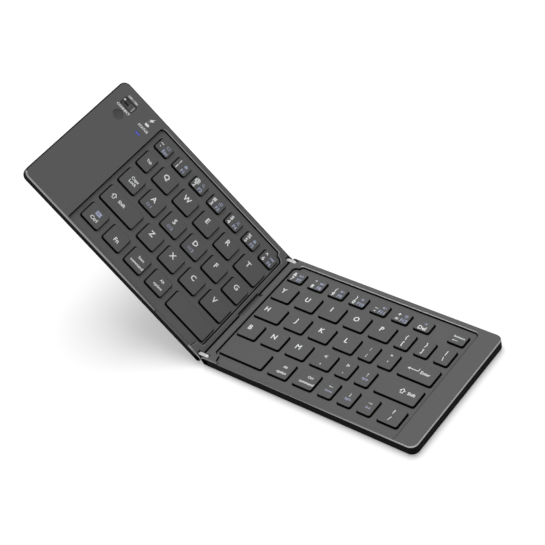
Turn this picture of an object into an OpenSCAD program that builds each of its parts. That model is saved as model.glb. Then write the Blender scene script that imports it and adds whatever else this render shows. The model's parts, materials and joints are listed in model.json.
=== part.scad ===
// Folding keyboard: two halves of keys on a twin-axis hinge.
// Each half is drawn in its own frame: x runs outward from the seam, y runs to the number row
// and z is measured from the rim, so everything inside has a negative z. in_right() and
// in_left() put the halves together: the right half lies on its feet and the left one is raised.

/* [Case] */
// Length of one half, from the seam to its outer end
half_l = 160; // [160:1:166]
// Depth of the keyboard, front edge to back edge
case_w = 98; // [98:0.5:102]
// Thickness of one half without its feet
case_t = 7; // [7:0.5:9]
// Corner radius of the outer corners, seen from above
corner_r = 5; // [4:0.5:6]
// Radius under the outer edges of the shells
edge_r = 2; // [1:0.5:3]
// Thickness of the shell walls
wall = 1.3; // [1.2:0.1:1.5]
// Height of the rubber feet
foot_h = 0.8; // [0.6:0.1:1.2]

/* [Fold] */
// Angle from lying flat to the pose it is drawn in, in degrees
rest_fold = 46.6; // [0:0.1:90]
// Distance from the seam to either hinge axis
axis_off = 3; // [3:0.1:3.2]
// Depth of the hinge axes below the rim
axis_drop = 2.8; // [2.6:0.1:2.8]
// Radius of the hinge pins
pin_r = 0.9; // [0.7:0.1:1]
// Width of a metal hinge link
link_w = 3; // [2.6:0.1:3.2]

/* [Keys] */
// Width of the hole for a letter key
hole_w = 14.6; // [14.4:0.1:14.6]
// Depth of the hole for a letter key, front to back
hole_d = 13.4; // [13.2:0.1:13.4]
// Width of the web between two holes
web = 4.4; // [4.2:0.1:4.4]
// Width of the hole for a number key
number_w = 11.6; // [11.2:0.1:11.8]
// Depth of the hole for a number key
number_d = 9.2; // [9:0.1:9.4]
// Width of the hole for a narrow symbol or arrow key
narrow_w = 10; // [9.8:0.1:10.2]
// Width of the hole for the wide letter keys beside the seam
wide_w = 19.4; // [19:0.1:19.8]
// Width of the hole for a shift key
shift_w = 29; // [28:0.2:30]
// Width of the hole for the Enter key
enter_w = 24.2; // [23.6:0.1:24.8]
// Clearance around a key in its hole
key_gap = 0.3; // [0.25:0.05:0.4]
// Depth of a key's top below the rim
key_sink = 0.2; // [0.15:0.05:0.3]
// Depth of the tray that the keys stand in
tray_d = 1.5; // [1.4:0.1:1.6]
// How far a key goes down
key_travel = 1.2; // [1:0.1:1.2]

/* [Controls] */
// How far the power slider moves
slide_travel = 4.8; // [3:0.1:4.8]
// Radius of the connect button
button_r = 3.5; // [3:0.1:3.8]

/* [Hidden] */

case_black = "#141416";
deck_grey = "#5c5c5e";
key_grey = "#565658";
steel = "#c9ccd0";
over = 0.5;                                  // how far a cutter runs past a face

// levels below the rim, from the top down
skin_t = 1.2;                                // the deck over the end panels
deck_t = tray_d + 1.1;                       // the deck under the tray
membrane_z = -4.5;                           // top of the membrane
membrane_t = 0.2;
plate_t = 0.4;
plate_z = membrane_z - membrane_t - plate_t; // underside of the steel key plate
floor_t = 1;
floor_z = floor_t - case_t;                  // inside of the shell's bottom
cap_z = membrane_z + key_travel + 0.3;       // bottom edge of a key cap
port_w = 8.9;
port_h = 3.2;
port_l = 7.3;
board_z = -skin_t - port_h;                  // top of the main board, which carries the port
board_t = 0.8;

// plan of one half
front_y = -case_w / 2;
back_y = case_w / 2;
tray_in = 6.5;                               // tray wall beside the hinge
tray_front = front_y + 1.8;
tray_back = back_y - 4;
right_end = 14.8;                            // plain strip beyond the right tray
left_end = 39;                               // plain panel beyond the left tray
right_tray_out = half_l - right_end;
left_tray_out = half_l - left_end;
right_start = 8.3;                           // first key hole, from the seam
left_start = 7.7;
right_field = right_tray_out - 3.1 - right_start; // length of a row of key holes
left_field = left_tray_out - 3.7 - left_start;
row_front = tray_front + 6.8;                // front of the space bar's row
field_d = tray_back - 5 - row_front;         // all five rows, front to back
plate_in = 7.6;                              // hinge side of the key plate
plate_y = back_y - 6.4;                      // half its depth

// hinge
seam_gap = 0.2;                              // from a barrel to the seam
barrel_r = min(axis_drop, axis_off - seam_gap);
link_r = barrel_r - 0.2;
link_y = back_y - 2.5;
slot_gap = 0.12;                             // side clearance of a link in its slot
run_gap = 0.05;                              // clearance of a pin in its bore
bridge_r = 1.9;
bridge_y0 = -8;
bridge_y1 = 12.4;
bridge_cap = 2.6;
flex_y0 = -4;
flex_y1 = 8.4;
flex_t = 0.2;
foot_x = 5;                                  // middle of the feet beside the hinge
foot_w = 4;
foot_len = 76;
outer_foot_x = half_l - 11;

// controls and electronics in the left end panel
switch_x = half_l - 18.7;
switch_len = slide_travel + 5.6;
switch_y = back_y - 11.4;
switch_w = 6.4;
switch_sink = 0.7;
knob_l = 4.4;
button_at = [half_l - 13.2, back_y - 21.5];
lens_at = [half_l - 30.5, back_y - 20.7];
lens_l = 4.2;
lens_w = 1.6;
port_x = half_l - 27.5;
board_x = left_tray_out + 2.5;               // hinge side of the main board
board_y = back_y - 35;                       // front of the main board
inside_x = half_l - 7;                       // outer side of the board and the battery
screw_at = [[9.3, back_y - 4.1], [half_l - 4.6, back_y - 4.6]];

// ---------- frames ----------

module in_right() {
    translate([-foot_x, 0, case_t + foot_h]) children();
}

module in_left() {
    in_right()
        translate([-axis_off, 0, -axis_drop]) rotate([0, rest_fold, 0])
            translate([axis_off, 0, axis_drop]) mirror([1, 0, 0]) children();
}

// ---------- plain shapes ----------

function arc(cx, cy, r, from) = [for (i = [0:4]) let (a = from + i * 22.5) [cx + r * cos(a), cy + r * sin(a)]];

function rounded(x0, x1, y0, y1, r) = concat(
    arc(x1 - r, y1 - r, r, 0),
    arc(x0 + r, y1 - r, r, 90),
    arc(x0 + r, y0 + r, r, 180),
    arc(x1 - r, y0 + r, r, 270)
);

module box(x0, x1, y0, y1, z0, z1) {
    translate([x0, y0, z0]) cube([x1 - x0, y1 - y0, z1 - z0]);
}

module slab(x0, x1, y0, y1, z0, z1, r) {
    translate([0, 0, z0]) linear_extrude(z1 - z0) polygon(rounded(x0, x1, y0, y1, r));
}

module rod(x, z, r, y0, y1) {
    translate([x, y0, z]) rotate([-90, 0, 0]) cylinder(h = y1 - y0, r = r, $fn = 32);
}

module stud(x, y, r, z0, z1) {
    translate([x, y, z0]) cylinder(h = z1 - z0, r = r, $fn = 24);
}

// A half's outline with a drawn edge. The profile's points are [distance outward from the face, z].
module cased(x0, profile) {
    corner_x = half_l - corner_r;
    corner_y = case_w / 2 - corner_r;
    for (side = [-1, 1])
        translate([corner_x, side * corner_y, 0])
            rotate_extrude($fn = 64) polygon([for (p = profile) [p[0] + corner_r, p[1]]]);
    across = concat(
        [for (p = profile) [p[0] + case_w / 2, p[1]]],
        [for (i = [len(profile) - 1:-1:0]) [-profile[i][0] - case_w / 2, profile[i][1]]]
    );
    translate([x0, 0, 0]) rotate([90, 0, 90]) linear_extrude(corner_x - x0) polygon(across);
    translate([0, corner_y, 0]) rotate([90, 0, 0]) linear_extrude(2 * corner_y)
        polygon([for (p = profile) [p[0] + half_l, p[1]]]);
}

// ---------- key layout ----------
// A row is a list of hole widths from the seam outward. The holes of a row are fitted to the
// length of the key field, and the rows to its depth.

function sum_to(list, n) = n < 1 ? 0 : list[n - 1] + sum_to(list, n - 1);
function fitted(field, sizes) = let (
    n = len(sizes), fit = (field - (n - 1) * web) / sum_to(sizes, n)
) [for (size = sizes) size * fit];

letter = hole_w;
double_w = 2 * hole_w + web;
right_rows = [
    [double_w, letter, letter, narrow_w, narrow_w, narrow_w, letter],
    [letter, letter, letter, letter, narrow_w, narrow_w, shift_w],
    [wide_w, letter, letter, letter, narrow_w, narrow_w, enter_w],
    [letter, letter, letter, letter, letter, narrow_w, narrow_w, narrow_w]
];
left_rows = [
    [double_w, letter, letter, letter, letter],
    [wide_w, letter, letter, letter, shift_w],
    [letter, letter, letter, letter, letter, letter],
    [wide_w, letter, letter, letter, letter, narrow_w]
];
row_depths = fitted(field_d, [hole_d, hole_d, hole_d, hole_d, number_d]);
number_step = (left_field - 0.5 - number_w) / 6;

function row_y(row) = row_front + sum_to(row_depths, row) + row * web;
function web_y(row) = row_y(row) - web / 2;  // middle of the web in front of a row

// A hole: [x0, x1, y0, y1]
function row_holes(start, field, widths, row) = let (fit = fitted(field, widths))
    [for (i = [0:len(fit) - 1]) let (x = start + sum_to(fit, i) + i * web)
        [x, x + fit[i], row_y(row), row_y(row) + row_depths[row]]];

function number_holes(start, field, count) = [for (i = [0:count - 1])
    let (x = i < 7 ? start + i * number_step : start + field - number_w)
        [x, x + number_w, row_y(4), row_y(4) + row_depths[4]]];

function holes_in(start, field, rows, numbers) = concat(
    [for (row = [0:3]) row_holes(start, field, rows[row], row)],
    [number_holes(start, field, numbers)]
);

right_holes = holes_in(right_start, right_field, right_rows, 8);
left_holes = holes_in(left_start, left_field, left_rows, 7);

// ---------- parts that both halves share ----------

module barrel() {
    rod(axis_off, -axis_drop, barrel_r, front_y, back_y);
}

// Room for a link or the bridge of radius r, which turns a quarter turn up out of the deck
module turn_slot(y0, y1, r) {
    reach = r + 0.15;
    rod(axis_off, -axis_drop, reach, y0, y1);
    box(axis_off - reach, axis_off + reach, y0, y1, -axis_drop, over);
    box(-over, axis_off, y0, y1, -axis_drop - reach, over);
}

module link_slots() {
    half_w = link_w / 2 + slot_gap;
    for (side = [-1, 1])
        turn_slot(side * link_y - half_w, side * link_y + half_w, link_r);
}

// The tray's corners beside the hinge step round the links
module tray_pocket(tray_out) {
    step_x = tray_in + 1.8;
    neck_x = tray_in + 3.9;
    full_x = tray_in + 4.9;
    side_y = back_y - 8.2;
    step_y = back_y - 6.6;
    translate([0, 0, -tray_d]) linear_extrude(tray_d + over) polygon([
        [tray_in, -side_y], [tray_in, side_y], [step_x, step_y], [neck_x, step_y], [full_x, tray_back],
        [tray_out - 2, tray_back], [tray_out, tray_back - 2],
        [tray_out, tray_front], [full_x, tray_front], [neck_x, -step_y], [step_x, -step_y]
    ]);
}

module deck(tray_out, holes) {
    bevel = 0.5;
    block_y = back_y - wall - 0.1;
    space_bar = holes[0][0];
    difference() {
        union() {
            cased(axis_off, [
                [-corner_r, 0], [-bevel, 0], [0, -bevel], [0, -skin_t], [-corner_r, -skin_t]
            ]);
            box(axis_off, tray_out + 1.4, -block_y, block_y, -deck_t, -skin_t + 0.1);
            barrel();
            for (at = screw_at, side = [-1, 1])
                stud(at[0], side * at[1], 1.9, floor_z, -skin_t + 0.1);
            for (row = [1, 3], share = [0.25, 0.5, 0.75])
                stud(tray_in + share * (tray_out - tray_in), web_y(row), 1, membrane_z, -deck_t + 0.1);
        }
        tray_pocket(tray_out);
        // the front rim is lowered beside the space bar
        box(space_bar[0] + 5.2, space_bar[1] + 1.6, front_y - over, tray_front + 0.1, -1, over);
        for (row = holes, h = row)
            slab(h[0], h[1], h[2], h[3], -deck_t - over, -tray_d + over, 1.6);
        link_slots();
        turn_slot(bridge_y0 - slot_gap, bridge_y1 + slot_gap, bridge_r);
        // way out for the flexible cable
        box(axis_off, axis_off + barrel_r + over, flex_y0 - 0.3, flex_y1 + 0.3, -axis_drop - 0.3, -deck_t);
        for (span = pin_spans)
            rod(axis_off, -axis_drop, pin_r, span[0], span[1]);
        for (at = screw_at, side = [-1, 1])
            stud(at[0], side * at[1], 0.95, floor_z - over, -3.4);
    }
}

// Where the pins run along a hinge axis: through each link, and into each end of the bridge
pin_spans = [
    [-link_y - 2.1, -link_y + 4.1], [link_y - 4.1, link_y + 2.1],
    [bridge_y0 - 2.4, bridge_y0 + 2], [bridge_y1 - 2, bridge_y1 + 2.4]
];

module shell(tray_out) {
    inner_y = back_y - wall;
    inner_x = 7.3;
    edge = [for (i = [0:4]) let (a = i * 22.5)
        [-edge_r + edge_r * cos(a), -case_t + edge_r - edge_r * sin(a)]];
    difference() {
        cased(1.4, concat([[-corner_r, -skin_t], [0, -skin_t]], edge, [[-corner_r, -case_t]]));
        slab(inner_x, half_l - wall, -inner_y, inner_y, floor_z, over, corner_r - wall);
        // the deck's block and barrel reach over the wall beside the hinge
        box(-over, inner_x + 3.8, -inner_y, inner_y, -deck_t, over);
        rod(axis_off, -axis_drop, barrel_r + 0.05, front_y - over, back_y + over);
        link_slots();
        box(axis_off - over, inner_x + over, flex_y0 - 1, flex_y1 + 1, membrane_z - 0.1, -deck_t + 0.1);
        for (at = screw_at, side = [-1, 1]) {
            stud(at[0], side * at[1], 1, -case_t - over, floor_z + over);
            stud(at[0], side * at[1], 1.8, -case_t - over, -case_t + 0.55);
        }
    }
    // ribs under the key plate
    for (row = [1:4])
        box(inner_x, tray_out, web_y(row) - 0.5, web_y(row) + 0.5, floor_z - 0.1, plate_z);
}

module key_plate(tray_out) {
    box(plate_in, tray_out + 0.8, -plate_y, plate_y, plate_z, plate_z + plate_t);
}

module membrane(tray_out) {
    box(plate_in, tray_out + 0.8, -plate_y, plate_y, membrane_z - membrane_t, membrane_z);
}

ceiling_z = -key_sink - skin_t;              // underside of a key's top

rise = ceiling_z - membrane_z;               // from the membrane to there

module dome() {
    cylinder(h = 0.3, r = 1.9, $fn = 24);
    cylinder(h = rise, r1 = 1.7, r2 = 1, $fn = 24);
}

// Two frames that cross like scissors on one pivot, in the room that a hole w by d leaves
module scissor(w, d) {
    arm = min(9, w - 3);
    outer = min(6.4, d - 2.8);
    t = 0.5;
    tilt = asin((rise - t) / arm);
    translate([0, 0, rise / 2]) {
        for (frame = [[-1, outer, outer - 1.2], [1, outer - 1.4, outer - 2.4]])
            rotate([0, frame[0] * tilt, 0]) difference() {
                box(-arm / 2, arm / 2, -frame[1] / 2, frame[1] / 2, -t / 2, t / 2);
                box(1 - arm / 2, arm / 2 - 1, -frame[2] / 2, frame[2] / 2, -t, t);
            }
        for (side = [-1, 1]) translate([0, side * (outer / 2 - 0.6), 0])
            rod(0, 0, 0.25, -0.4, 0.4);
    }
}

// Puts one piece on the membrane under the middle of each key
module under_keys(holes) {
    for (row = holes, h = row)
        translate([(h[0] + h[1]) / 2, (h[2] + h[3]) / 2, membrane_z]) {
            $hole = h;
            children();
        }
}

module domes(holes) {
    color("#e8e6e0") under_keys(holes) dome();
}

module scissors(holes) {
    color("#dcdcdc") under_keys(holes) scissor($hole[1] - $hole[0], $hole[3] - $hole[2]);
}

module feet() {
    color("#1b1b1c") for (x = [foot_x, outer_foot_x])
        slab(x - foot_w / 2, x + foot_w / 2, -foot_len / 2, foot_len / 2, -case_t - foot_h, -case_t, 1.5);
}

module screws() {
    color(steel) for (at = screw_at, side = [-1, 1]) difference() {
        union() {
            stud(at[0], side * at[1], 1.7, -case_t + 0.1, -case_t + 0.55);
            stud(at[0], side * at[1], 0.9, -case_t + 0.5, -3.6);
        }
        box(at[0] - 1.1, at[0] + 1.1, side * at[1] - 0.2, side * at[1] + 0.2, -case_t, -case_t + 0.35);
        box(at[0] - 0.2, at[0] + 0.2, side * at[1] - 1.1, side * at[1] + 1.1, -case_t, -case_t + 0.35);
    }
}

module magnets() {
    color(steel) for (side = [-1, 1])
        stud(half_l - 4, side * 20, 2.2, -skin_t - 2, -skin_t);
}

module pins() {
    color(steel) for (span = pin_spans)
        rod(axis_off, -axis_drop, pin_r, span[0], span[1]);
}

// A key cap: a thin box with a hollow under it
module cap(h) {
    x0 = h[0] + key_gap;
    x1 = h[1] - key_gap;
    y0 = h[2] + key_gap;
    y1 = h[3] - key_gap;
    side_t = 0.9;
    difference() {
        slab(x0, x1, y0, y1, cap_z, -key_sink, 1.3);
        box(x0 + side_t, x1 - side_t, y0 + side_t, y1 - side_t, cap_z - over, ceiling_z);
    }
}

module right_keys(row, first, last) {
    color(key_grey) in_right() for (i = [first:last]) cap(right_holes[row][i]);
}

module left_keys(row, first, last) {
    color(key_grey) in_left() for (i = [first:last]) cap(left_holes[row][i]);
}

// ---------- right half ----------

module right_deck() {
    color(deck_grey) in_right() deck(right_tray_out, right_holes);
}

module right_shell() {
    color(case_black) in_right() shell(right_tray_out);
}

module right_key_plate() {
    color(steel) in_right() key_plate(right_tray_out);
}

module right_membrane() {
    color("#9fb4a8") in_right() membrane(right_tray_out);
}

module right_domes() {
    in_right() domes(right_holes);
}

module right_scissors() {
    in_right() scissors(right_holes);
}

module right_feet() {
    in_right() feet();
}

module right_screws() {
    in_right() screws();
}

module right_magnets() {
    in_right() magnets();
}

module right_pins() {
    in_right() pins();
}

// ---------- left half ----------

module left_deck() {
    color(deck_grey) in_left() difference() {
        deck(left_tray_out, left_holes);
        slab(switch_x, switch_x + switch_len, switch_y - switch_w / 2, switch_y + switch_w / 2,
            -switch_sink, over, 1);
        box(switch_x + 1.5, switch_x + switch_len - 1.7, switch_y - 0.7, switch_y + 0.7, -skin_t - over, 0);
        stud(button_at[0], button_at[1], button_r + 0.2, -skin_t - over, over);
        slab(lens_at[0] - lens_l / 2, lens_at[0] + lens_l / 2, lens_at[1] - lens_w / 2,
            lens_at[1] + lens_w / 2, -skin_t - over, over, lens_w / 2 - 0.05);
    }
}

module left_shell() {
    color(case_black) in_left() {
        difference() {
            shell(left_tray_out);
            box(port_x - port_w / 2, port_x + port_w / 2, back_y - 3, back_y + over,
                board_z, -skin_t + over);
        }
        // posts under the main board
        for (x = [board_x + 3.5, inside_x - 4], y = [board_y + 4, board_y + 17])
            stud(x, y, 1.2, floor_z - 0.1, board_z - board_t);
    }
}

module left_key_plate() {
    color(steel) in_left() key_plate(left_tray_out);
}

module left_membrane() {
    color("#9fb4a8") in_left() membrane(left_tray_out);
}

module left_domes() {
    in_left() domes(left_holes);
}

module left_scissors() {
    in_left() scissors(left_holes);
}

module left_feet() {
    in_left() feet();
}

module left_screws() {
    in_left() screws();
}

module left_magnets() {
    in_left() magnets();
}

module left_pins() {
    in_left() pins();
}

module main_board() {
    color("#1f5a3c") in_left() difference() {
        slab(board_x, inside_x, board_y, back_y - 2.5, board_z - board_t, board_z, 1);
        // room for the port's shell at the back edge
        box(port_x - 6, port_x - port_w / 2 + 0.8, back_y - 3.5, back_y - 2, board_z - 2, board_z + over);
    }
}

module battery() {
    color("#b9bcc2") in_left()
        slab(left_tray_out + 3, inside_x, front_y + 6, board_y - 4, floor_z, -3, 1.5);
}

module charge_port() {
    shell_t = 0.3;
    z0 = board_z;
    color(steel) in_left() translate([port_x, back_y, z0]) {
        difference() {
            box(-port_w / 2, port_w / 2, -port_l, 0, 0, port_h);
            box(shell_t - port_w / 2, port_w / 2 - shell_t, -port_l + 1, over, shell_t, port_h - shell_t);
        }
        box(-3.3, 3.3, -port_l + 0.5, -1, port_h / 2 - 0.35, port_h / 2 + 0.35);
    }
}

module switch_body() {
    color("#3c3f44") in_left() difference() {
        box(switch_x, switch_x + switch_len, switch_y - 2.4, switch_y + 2.4, board_z, -1.9);
        box(switch_x + 1.3, switch_x + switch_len - 1.5, switch_y - 0.8, switch_y + 0.8, -3.4, 0);
    }
}

module tact_switch() {
    color("#7d8086") in_left()
        box(button_at[0] - 2.2, button_at[0] + 2.2, button_at[1] - 2.2, button_at[1] + 2.2, board_z, -3.35);
}

module status_lens() {
    color("#5a78ff") in_left() {
        slab(lens_at[0] - lens_l / 2 + 0.05, lens_at[0] + lens_l / 2 - 0.05,
            lens_at[1] - lens_w / 2 + 0.05, lens_at[1] + lens_w / 2 - 0.05, -skin_t - 0.2, -0.05,
            lens_w / 2 - 0.1);
        stud(lens_at[0], lens_at[1], 0.6, board_z, -skin_t);
    }
}

module power_slider() {
    x0 = switch_x + 0.4;
    color("#8a8a8c") in_left() {
        slab(x0, x0 + knob_l, switch_y - switch_w / 2 + 0.6, switch_y + switch_w / 2 - 0.6,
            -switch_sink, -0.15, 0.5);
        for (i = [1:3])
            box(x0 + i * knob_l / 4 - 0.2, x0 + i * knob_l / 4 + 0.2, switch_y - 1.8, switch_y + 1.8,
                -0.3, -0.05);
        box(x0 + 1.3, x0 + 3.1, switch_y - 0.6, switch_y + 0.6, -3.3, -switch_sink + 0.1);
    }
}

module connect_button() {
    color(deck_grey) in_left() translate([button_at[0], button_at[1], 0]) difference() {
        union() {
            stud(0, 0, button_r, -skin_t - 0.3, -0.2);
            stud(0, 0, button_r + 0.6, -skin_t - 0.6, -skin_t - 0.05);
            stud(0, 0, 1, -3.05, -skin_t);
        }
        translate([0, 0, 8.3]) sphere(r = 8.8, $fn = 64);
    }
}

// ---------- hinge ----------

module stadium(r, y0, y1) {
    for (side = [-1, 1]) rod(side * axis_off, -axis_drop, r, y0, y1);
    box(-axis_off, axis_off, y0, y1, -axis_drop - r, -axis_drop + r);
}

module pin_bores(y0, y1) {
    for (side = [-1, 1]) rod(side * axis_off, -axis_drop, pin_r + run_gap, y0, y1);
}

module hinge_link(side) {
    y0 = side * link_y - link_w / 2;
    color(steel) in_right() difference() {
        stadium(link_r, y0, y0 + link_w);
        pin_bores(y0 - over, y0 + link_w + over);
    }
}

module front_link() {
    hinge_link(-1);
}

module back_link() {
    hinge_link(1);
}

module cable_bridge() {
    slot = 1;
    y0 = bridge_y0 + bridge_cap;
    y1 = bridge_y1 - bridge_cap;
    color("#2c2c2e") in_right() difference() {
        stadium(bridge_r, bridge_y0, bridge_y1);
        box(-8, 8, y0, y1, -axis_drop - slot / 2, -axis_drop + slot / 2);
        for (side = [-1, 1])
            box(side > 0 ? axis_off : -8, side > 0 ? 8 : -axis_off, y0, y1, -axis_drop - slot / 2, over);
        pin_bores(bridge_y0 - over, bridge_y0 + 2.1);
        pin_bores(bridge_y1 - 2.1, bridge_y1 + over);
    }
}

// One side of the flexible cable: out of the bridge and down onto the membrane
module flex_side(inner_x) {
    h = flex_t / 2;
    bend = [5.9, -axis_drop];
    lap = [plate_in + 0.1, membrane_z + h];
    end_x = lap[0] + 2.3;
    s = h * tan(atan2(bend[1] - lap[1], lap[0] - bend[0]) / 2);
    translate([0, flex_y1, 0]) rotate([90, 0, 0]) linear_extrude(flex_y1 - flex_y0) polygon([
        [inner_x, bend[1] - h], [bend[0] - s, bend[1] - h], [lap[0] - s, lap[1] - h], [end_x, lap[1] - h],
        [end_x, lap[1] + h], [lap[0] + s, lap[1] + h], [bend[0] + s, bend[1] + h], [inner_x, bend[1] + h]
    ]);
}

module flex_cable() {
    color("#a8702c") {
        in_right() flex_side(-axis_off);
        in_left() flex_side(axis_off);
    }
}

// ---------- keys ----------

module escape_key() left_keys(4, 6, 6);
module left_number_keys() left_keys(4, 0, 5);
module tab_key() left_keys(3, 5, 5);
module left_top_keys() left_keys(3, 0, 4);
module caps_lock_key() left_keys(2, 5, 5);
module left_home_keys() left_keys(2, 0, 4);
module left_shift_key() left_keys(1, 4, 4);
module left_bottom_keys() left_keys(1, 0, 3);
module left_ctrl_key() left_keys(0, 4, 4);
module fn_key() left_keys(0, 3, 3);
module start_key() left_keys(0, 2, 2);
module left_alt_key() left_keys(0, 1, 1);
module left_space_key() left_keys(0, 0, 0);

module right_number_keys() right_keys(4, 0, 5);
module delete_key() right_keys(4, 6, 6);
module backspace_key() right_keys(4, 7, 7);
module right_top_keys() right_keys(3, 0, 7);
module right_home_keys() right_keys(2, 0, 5);
module enter_key() right_keys(2, 6, 6);
module right_bottom_keys() {
    right_keys(1, 0, 4);
    right_keys(0, 6, 6);
}
module arrow_up_key() right_keys(1, 5, 5);
module right_shift_key() right_keys(1, 6, 6);
module right_space_key() right_keys(0, 0, 0);
module right_alt_key() right_keys(0, 1, 1);
module right_ctrl_key() right_keys(0, 2, 2);
module arrow_left_key() right_keys(0, 3, 3);
module arrow_down_key() right_keys(0, 4, 4);
module arrow_right_key() right_keys(0, 5, 5);

right_deck();
right_shell();
right_key_plate();
right_membrane();
right_domes();
right_scissors();
right_feet();
right_screws();
right_magnets();
right_pins();
left_deck();
left_shell();
left_key_plate();
left_membrane();
left_domes();
left_scissors();
left_feet();
left_screws();
left_magnets();
left_pins();
front_link();
back_link();
cable_bridge();
flex_cable();
main_board();
battery();
charge_port();
switch_body();
tact_switch();
status_lens();
power_slider();
connect_button();
escape_key();
left_number_keys();
tab_key();
left_top_keys();
caps_lock_key();
left_home_keys();
left_shift_key();
left_bottom_keys();
left_ctrl_key();
fn_key();
start_key();
left_alt_key();
left_space_key();
right_number_keys();
delete_key();
backspace_key();
right_top_keys();
right_home_keys();
enter_key();
right_bottom_keys();
arrow_up_key();
right_shift_key();
right_space_key();
right_alt_key();
right_ctrl_key();
arrow_left_key();
arrow_down_key();
arrow_right_key();
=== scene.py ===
import json
import math

import bmesh
import bpy
from mathutils import Euler, Matrix, Vector


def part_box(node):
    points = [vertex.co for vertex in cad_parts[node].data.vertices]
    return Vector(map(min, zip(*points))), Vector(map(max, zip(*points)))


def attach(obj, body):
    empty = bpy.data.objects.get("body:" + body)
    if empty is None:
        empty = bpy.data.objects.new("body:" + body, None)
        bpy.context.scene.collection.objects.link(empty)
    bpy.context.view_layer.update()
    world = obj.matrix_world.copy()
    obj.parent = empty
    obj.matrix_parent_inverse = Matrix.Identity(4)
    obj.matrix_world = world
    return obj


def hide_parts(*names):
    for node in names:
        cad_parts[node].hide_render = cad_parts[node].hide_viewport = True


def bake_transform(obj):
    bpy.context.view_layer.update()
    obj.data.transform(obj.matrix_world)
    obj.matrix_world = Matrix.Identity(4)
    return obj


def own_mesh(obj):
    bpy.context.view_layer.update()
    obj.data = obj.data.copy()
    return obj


bl_info = {
    "name": "Folding Keyboard",
    "version": (1, 0, 0),
    "blender": (4, 5, 0),
    "location": "View3D > Sidebar > Keyboard",
    "description": "Dresses the frame of a folding keyboard with covers, keys, legends and a hinge",
    "category": "Object",
}

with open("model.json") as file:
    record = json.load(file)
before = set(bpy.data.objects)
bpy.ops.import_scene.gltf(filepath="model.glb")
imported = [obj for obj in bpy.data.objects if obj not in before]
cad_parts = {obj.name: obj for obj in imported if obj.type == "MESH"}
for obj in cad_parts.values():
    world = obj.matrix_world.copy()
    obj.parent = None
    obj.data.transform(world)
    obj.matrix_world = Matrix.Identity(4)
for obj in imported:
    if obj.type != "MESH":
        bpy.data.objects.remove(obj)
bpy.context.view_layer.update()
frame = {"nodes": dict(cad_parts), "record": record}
MM = 0.001

# ---------------------------------------------------------------------------
# The two halves
# ---------------------------------------------------------------------------


class Half:
    """One half of the keyboard.

    Its own x runs outward from the seam, y to the number row and z up from the rim, in mm."""

    def __init__(self, side, place, reading):
        self.side = side
        self.body = side + "_half"
        self.place = place
        self.reading = reading            # +1 where words run along +x, -1 where they run along -x
        self.low, self.high = self.box_of(side + "_shell")
        self.tray = Tray(self, self.box_of(side + "_key_plate")[1].x)

    def box_of(self, node):
        back = self.place.inverted()
        points = [back @ vertex.co for vertex in frame["nodes"][node].data.vertices]
        corners = [[pick(p[axis] for p in points) for axis in range(3)] for pick in (min, max)]
        return Vector(corners[0]), Vector(corners[1])

    def solids_of(self, node):
        """The boxes of a node's separate solids as (low, high), from the seam outward."""
        mesh = bmesh.new()
        mesh.from_mesh(frame["nodes"][node].data)
        mesh.transform(self.place.inverted())
        bmesh.ops.remove_doubles(mesh, verts=mesh.verts, dist=0.001)
        left = set(mesh.verts)
        boxes = []
        while left:
            reached = [left.pop()]
            for vertex in reached:
                for edge in vertex.link_edges:
                    other = edge.other_vert(vertex)
                    if other in left:
                        left.remove(other)
                        reached.append(other)
            boxes.append(tuple(
                Vector([pick(v.co[axis] for v in reached) for axis in range(3)]) for pick in (min, max)
            ))
        mesh.free()
        return sorted(boxes, key=lambda box: (box[0].x, box[0].y))


class Tray:
    """The sunken tray of a half. Its floor starts a little beyond the wall beside the hinge."""

    floor = -1.5
    groove = 0.35                         # from the wall to the floor's edge, all round
    front_rim, back_rim = 1.8, 4          # widths of the rim before and behind the tray
    overlap = 0.8                         # of the rim over the key plate's end

    def __init__(self, half, plate_end):
        self.inner, self.floor_start = (6.5, 6.85) if half.side == "right" else (5.7, 6.4)
        self.outer = plate_end - self.overlap
        self.front = half.low.y + self.front_rim
        self.back = half.high.y - self.back_rim


def joint_of(name):
    """The record's entry for a joint."""
    return next(joint for joint in frame["record"]["behaviour"]["joints"] if joint["name"] == name)


RIGHT_AXIS = Vector(joint_of("link_turn")["pos_m"])
LEFT_AXIS = Vector(joint_of("left_fold")["pos_m"])
REST_FOLD = -math.radians(joint_of("left_fold")["range_deg"][0])
RIM_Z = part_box("right_deck")[1][2]
SEAM = Matrix.Translation(((RIGHT_AXIS.x + LEFT_AXIS.x) / 2, 0, RIM_Z))
FOLD = Matrix.Translation(LEFT_AXIS) @ Matrix.Rotation(REST_FOLD, 4, "Y") @ Matrix.Translation(-LEFT_AXIS)
RIGHT = Half("right", SEAM @ Matrix.Diagonal((MM, MM, MM, 1)), 1)
LEFT = Half("left", FOLD @ SEAM @ Matrix.Diagonal((-MM, MM, MM, 1)), -1)

AXIS_X = (RIGHT_AXIS.x - LEFT_AXIS.x) / 2 / MM      # of a half's own hinge axis
AXIS_Z = (RIGHT_AXIS.z - RIM_Z) / MM
BARREL_R = -AXIS_Z                        # the barrel reaches up to the rim
LINK_R = BARREL_R - 0.2                   # the links lie a little lower
BRIDGE_R = 1.9                            # of the bridge's knuckles
WEB_TOP = 0.35                            # height of the bridge's web over the axes
ROOF_Z = -0.75                            # underside of the rim over the bridge's ends
SKIN_Z = -1.2                             # underside of the rim elsewhere
LINK_BOX = RIGHT.box_of("back_link")
BRIDGE_BOX = RIGHT.box_of("cable_bridge")
SLOT_GAP = 0.12                           # beside the links and the bridge
SLOT_PLAY = 0.15                          # round them

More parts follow.
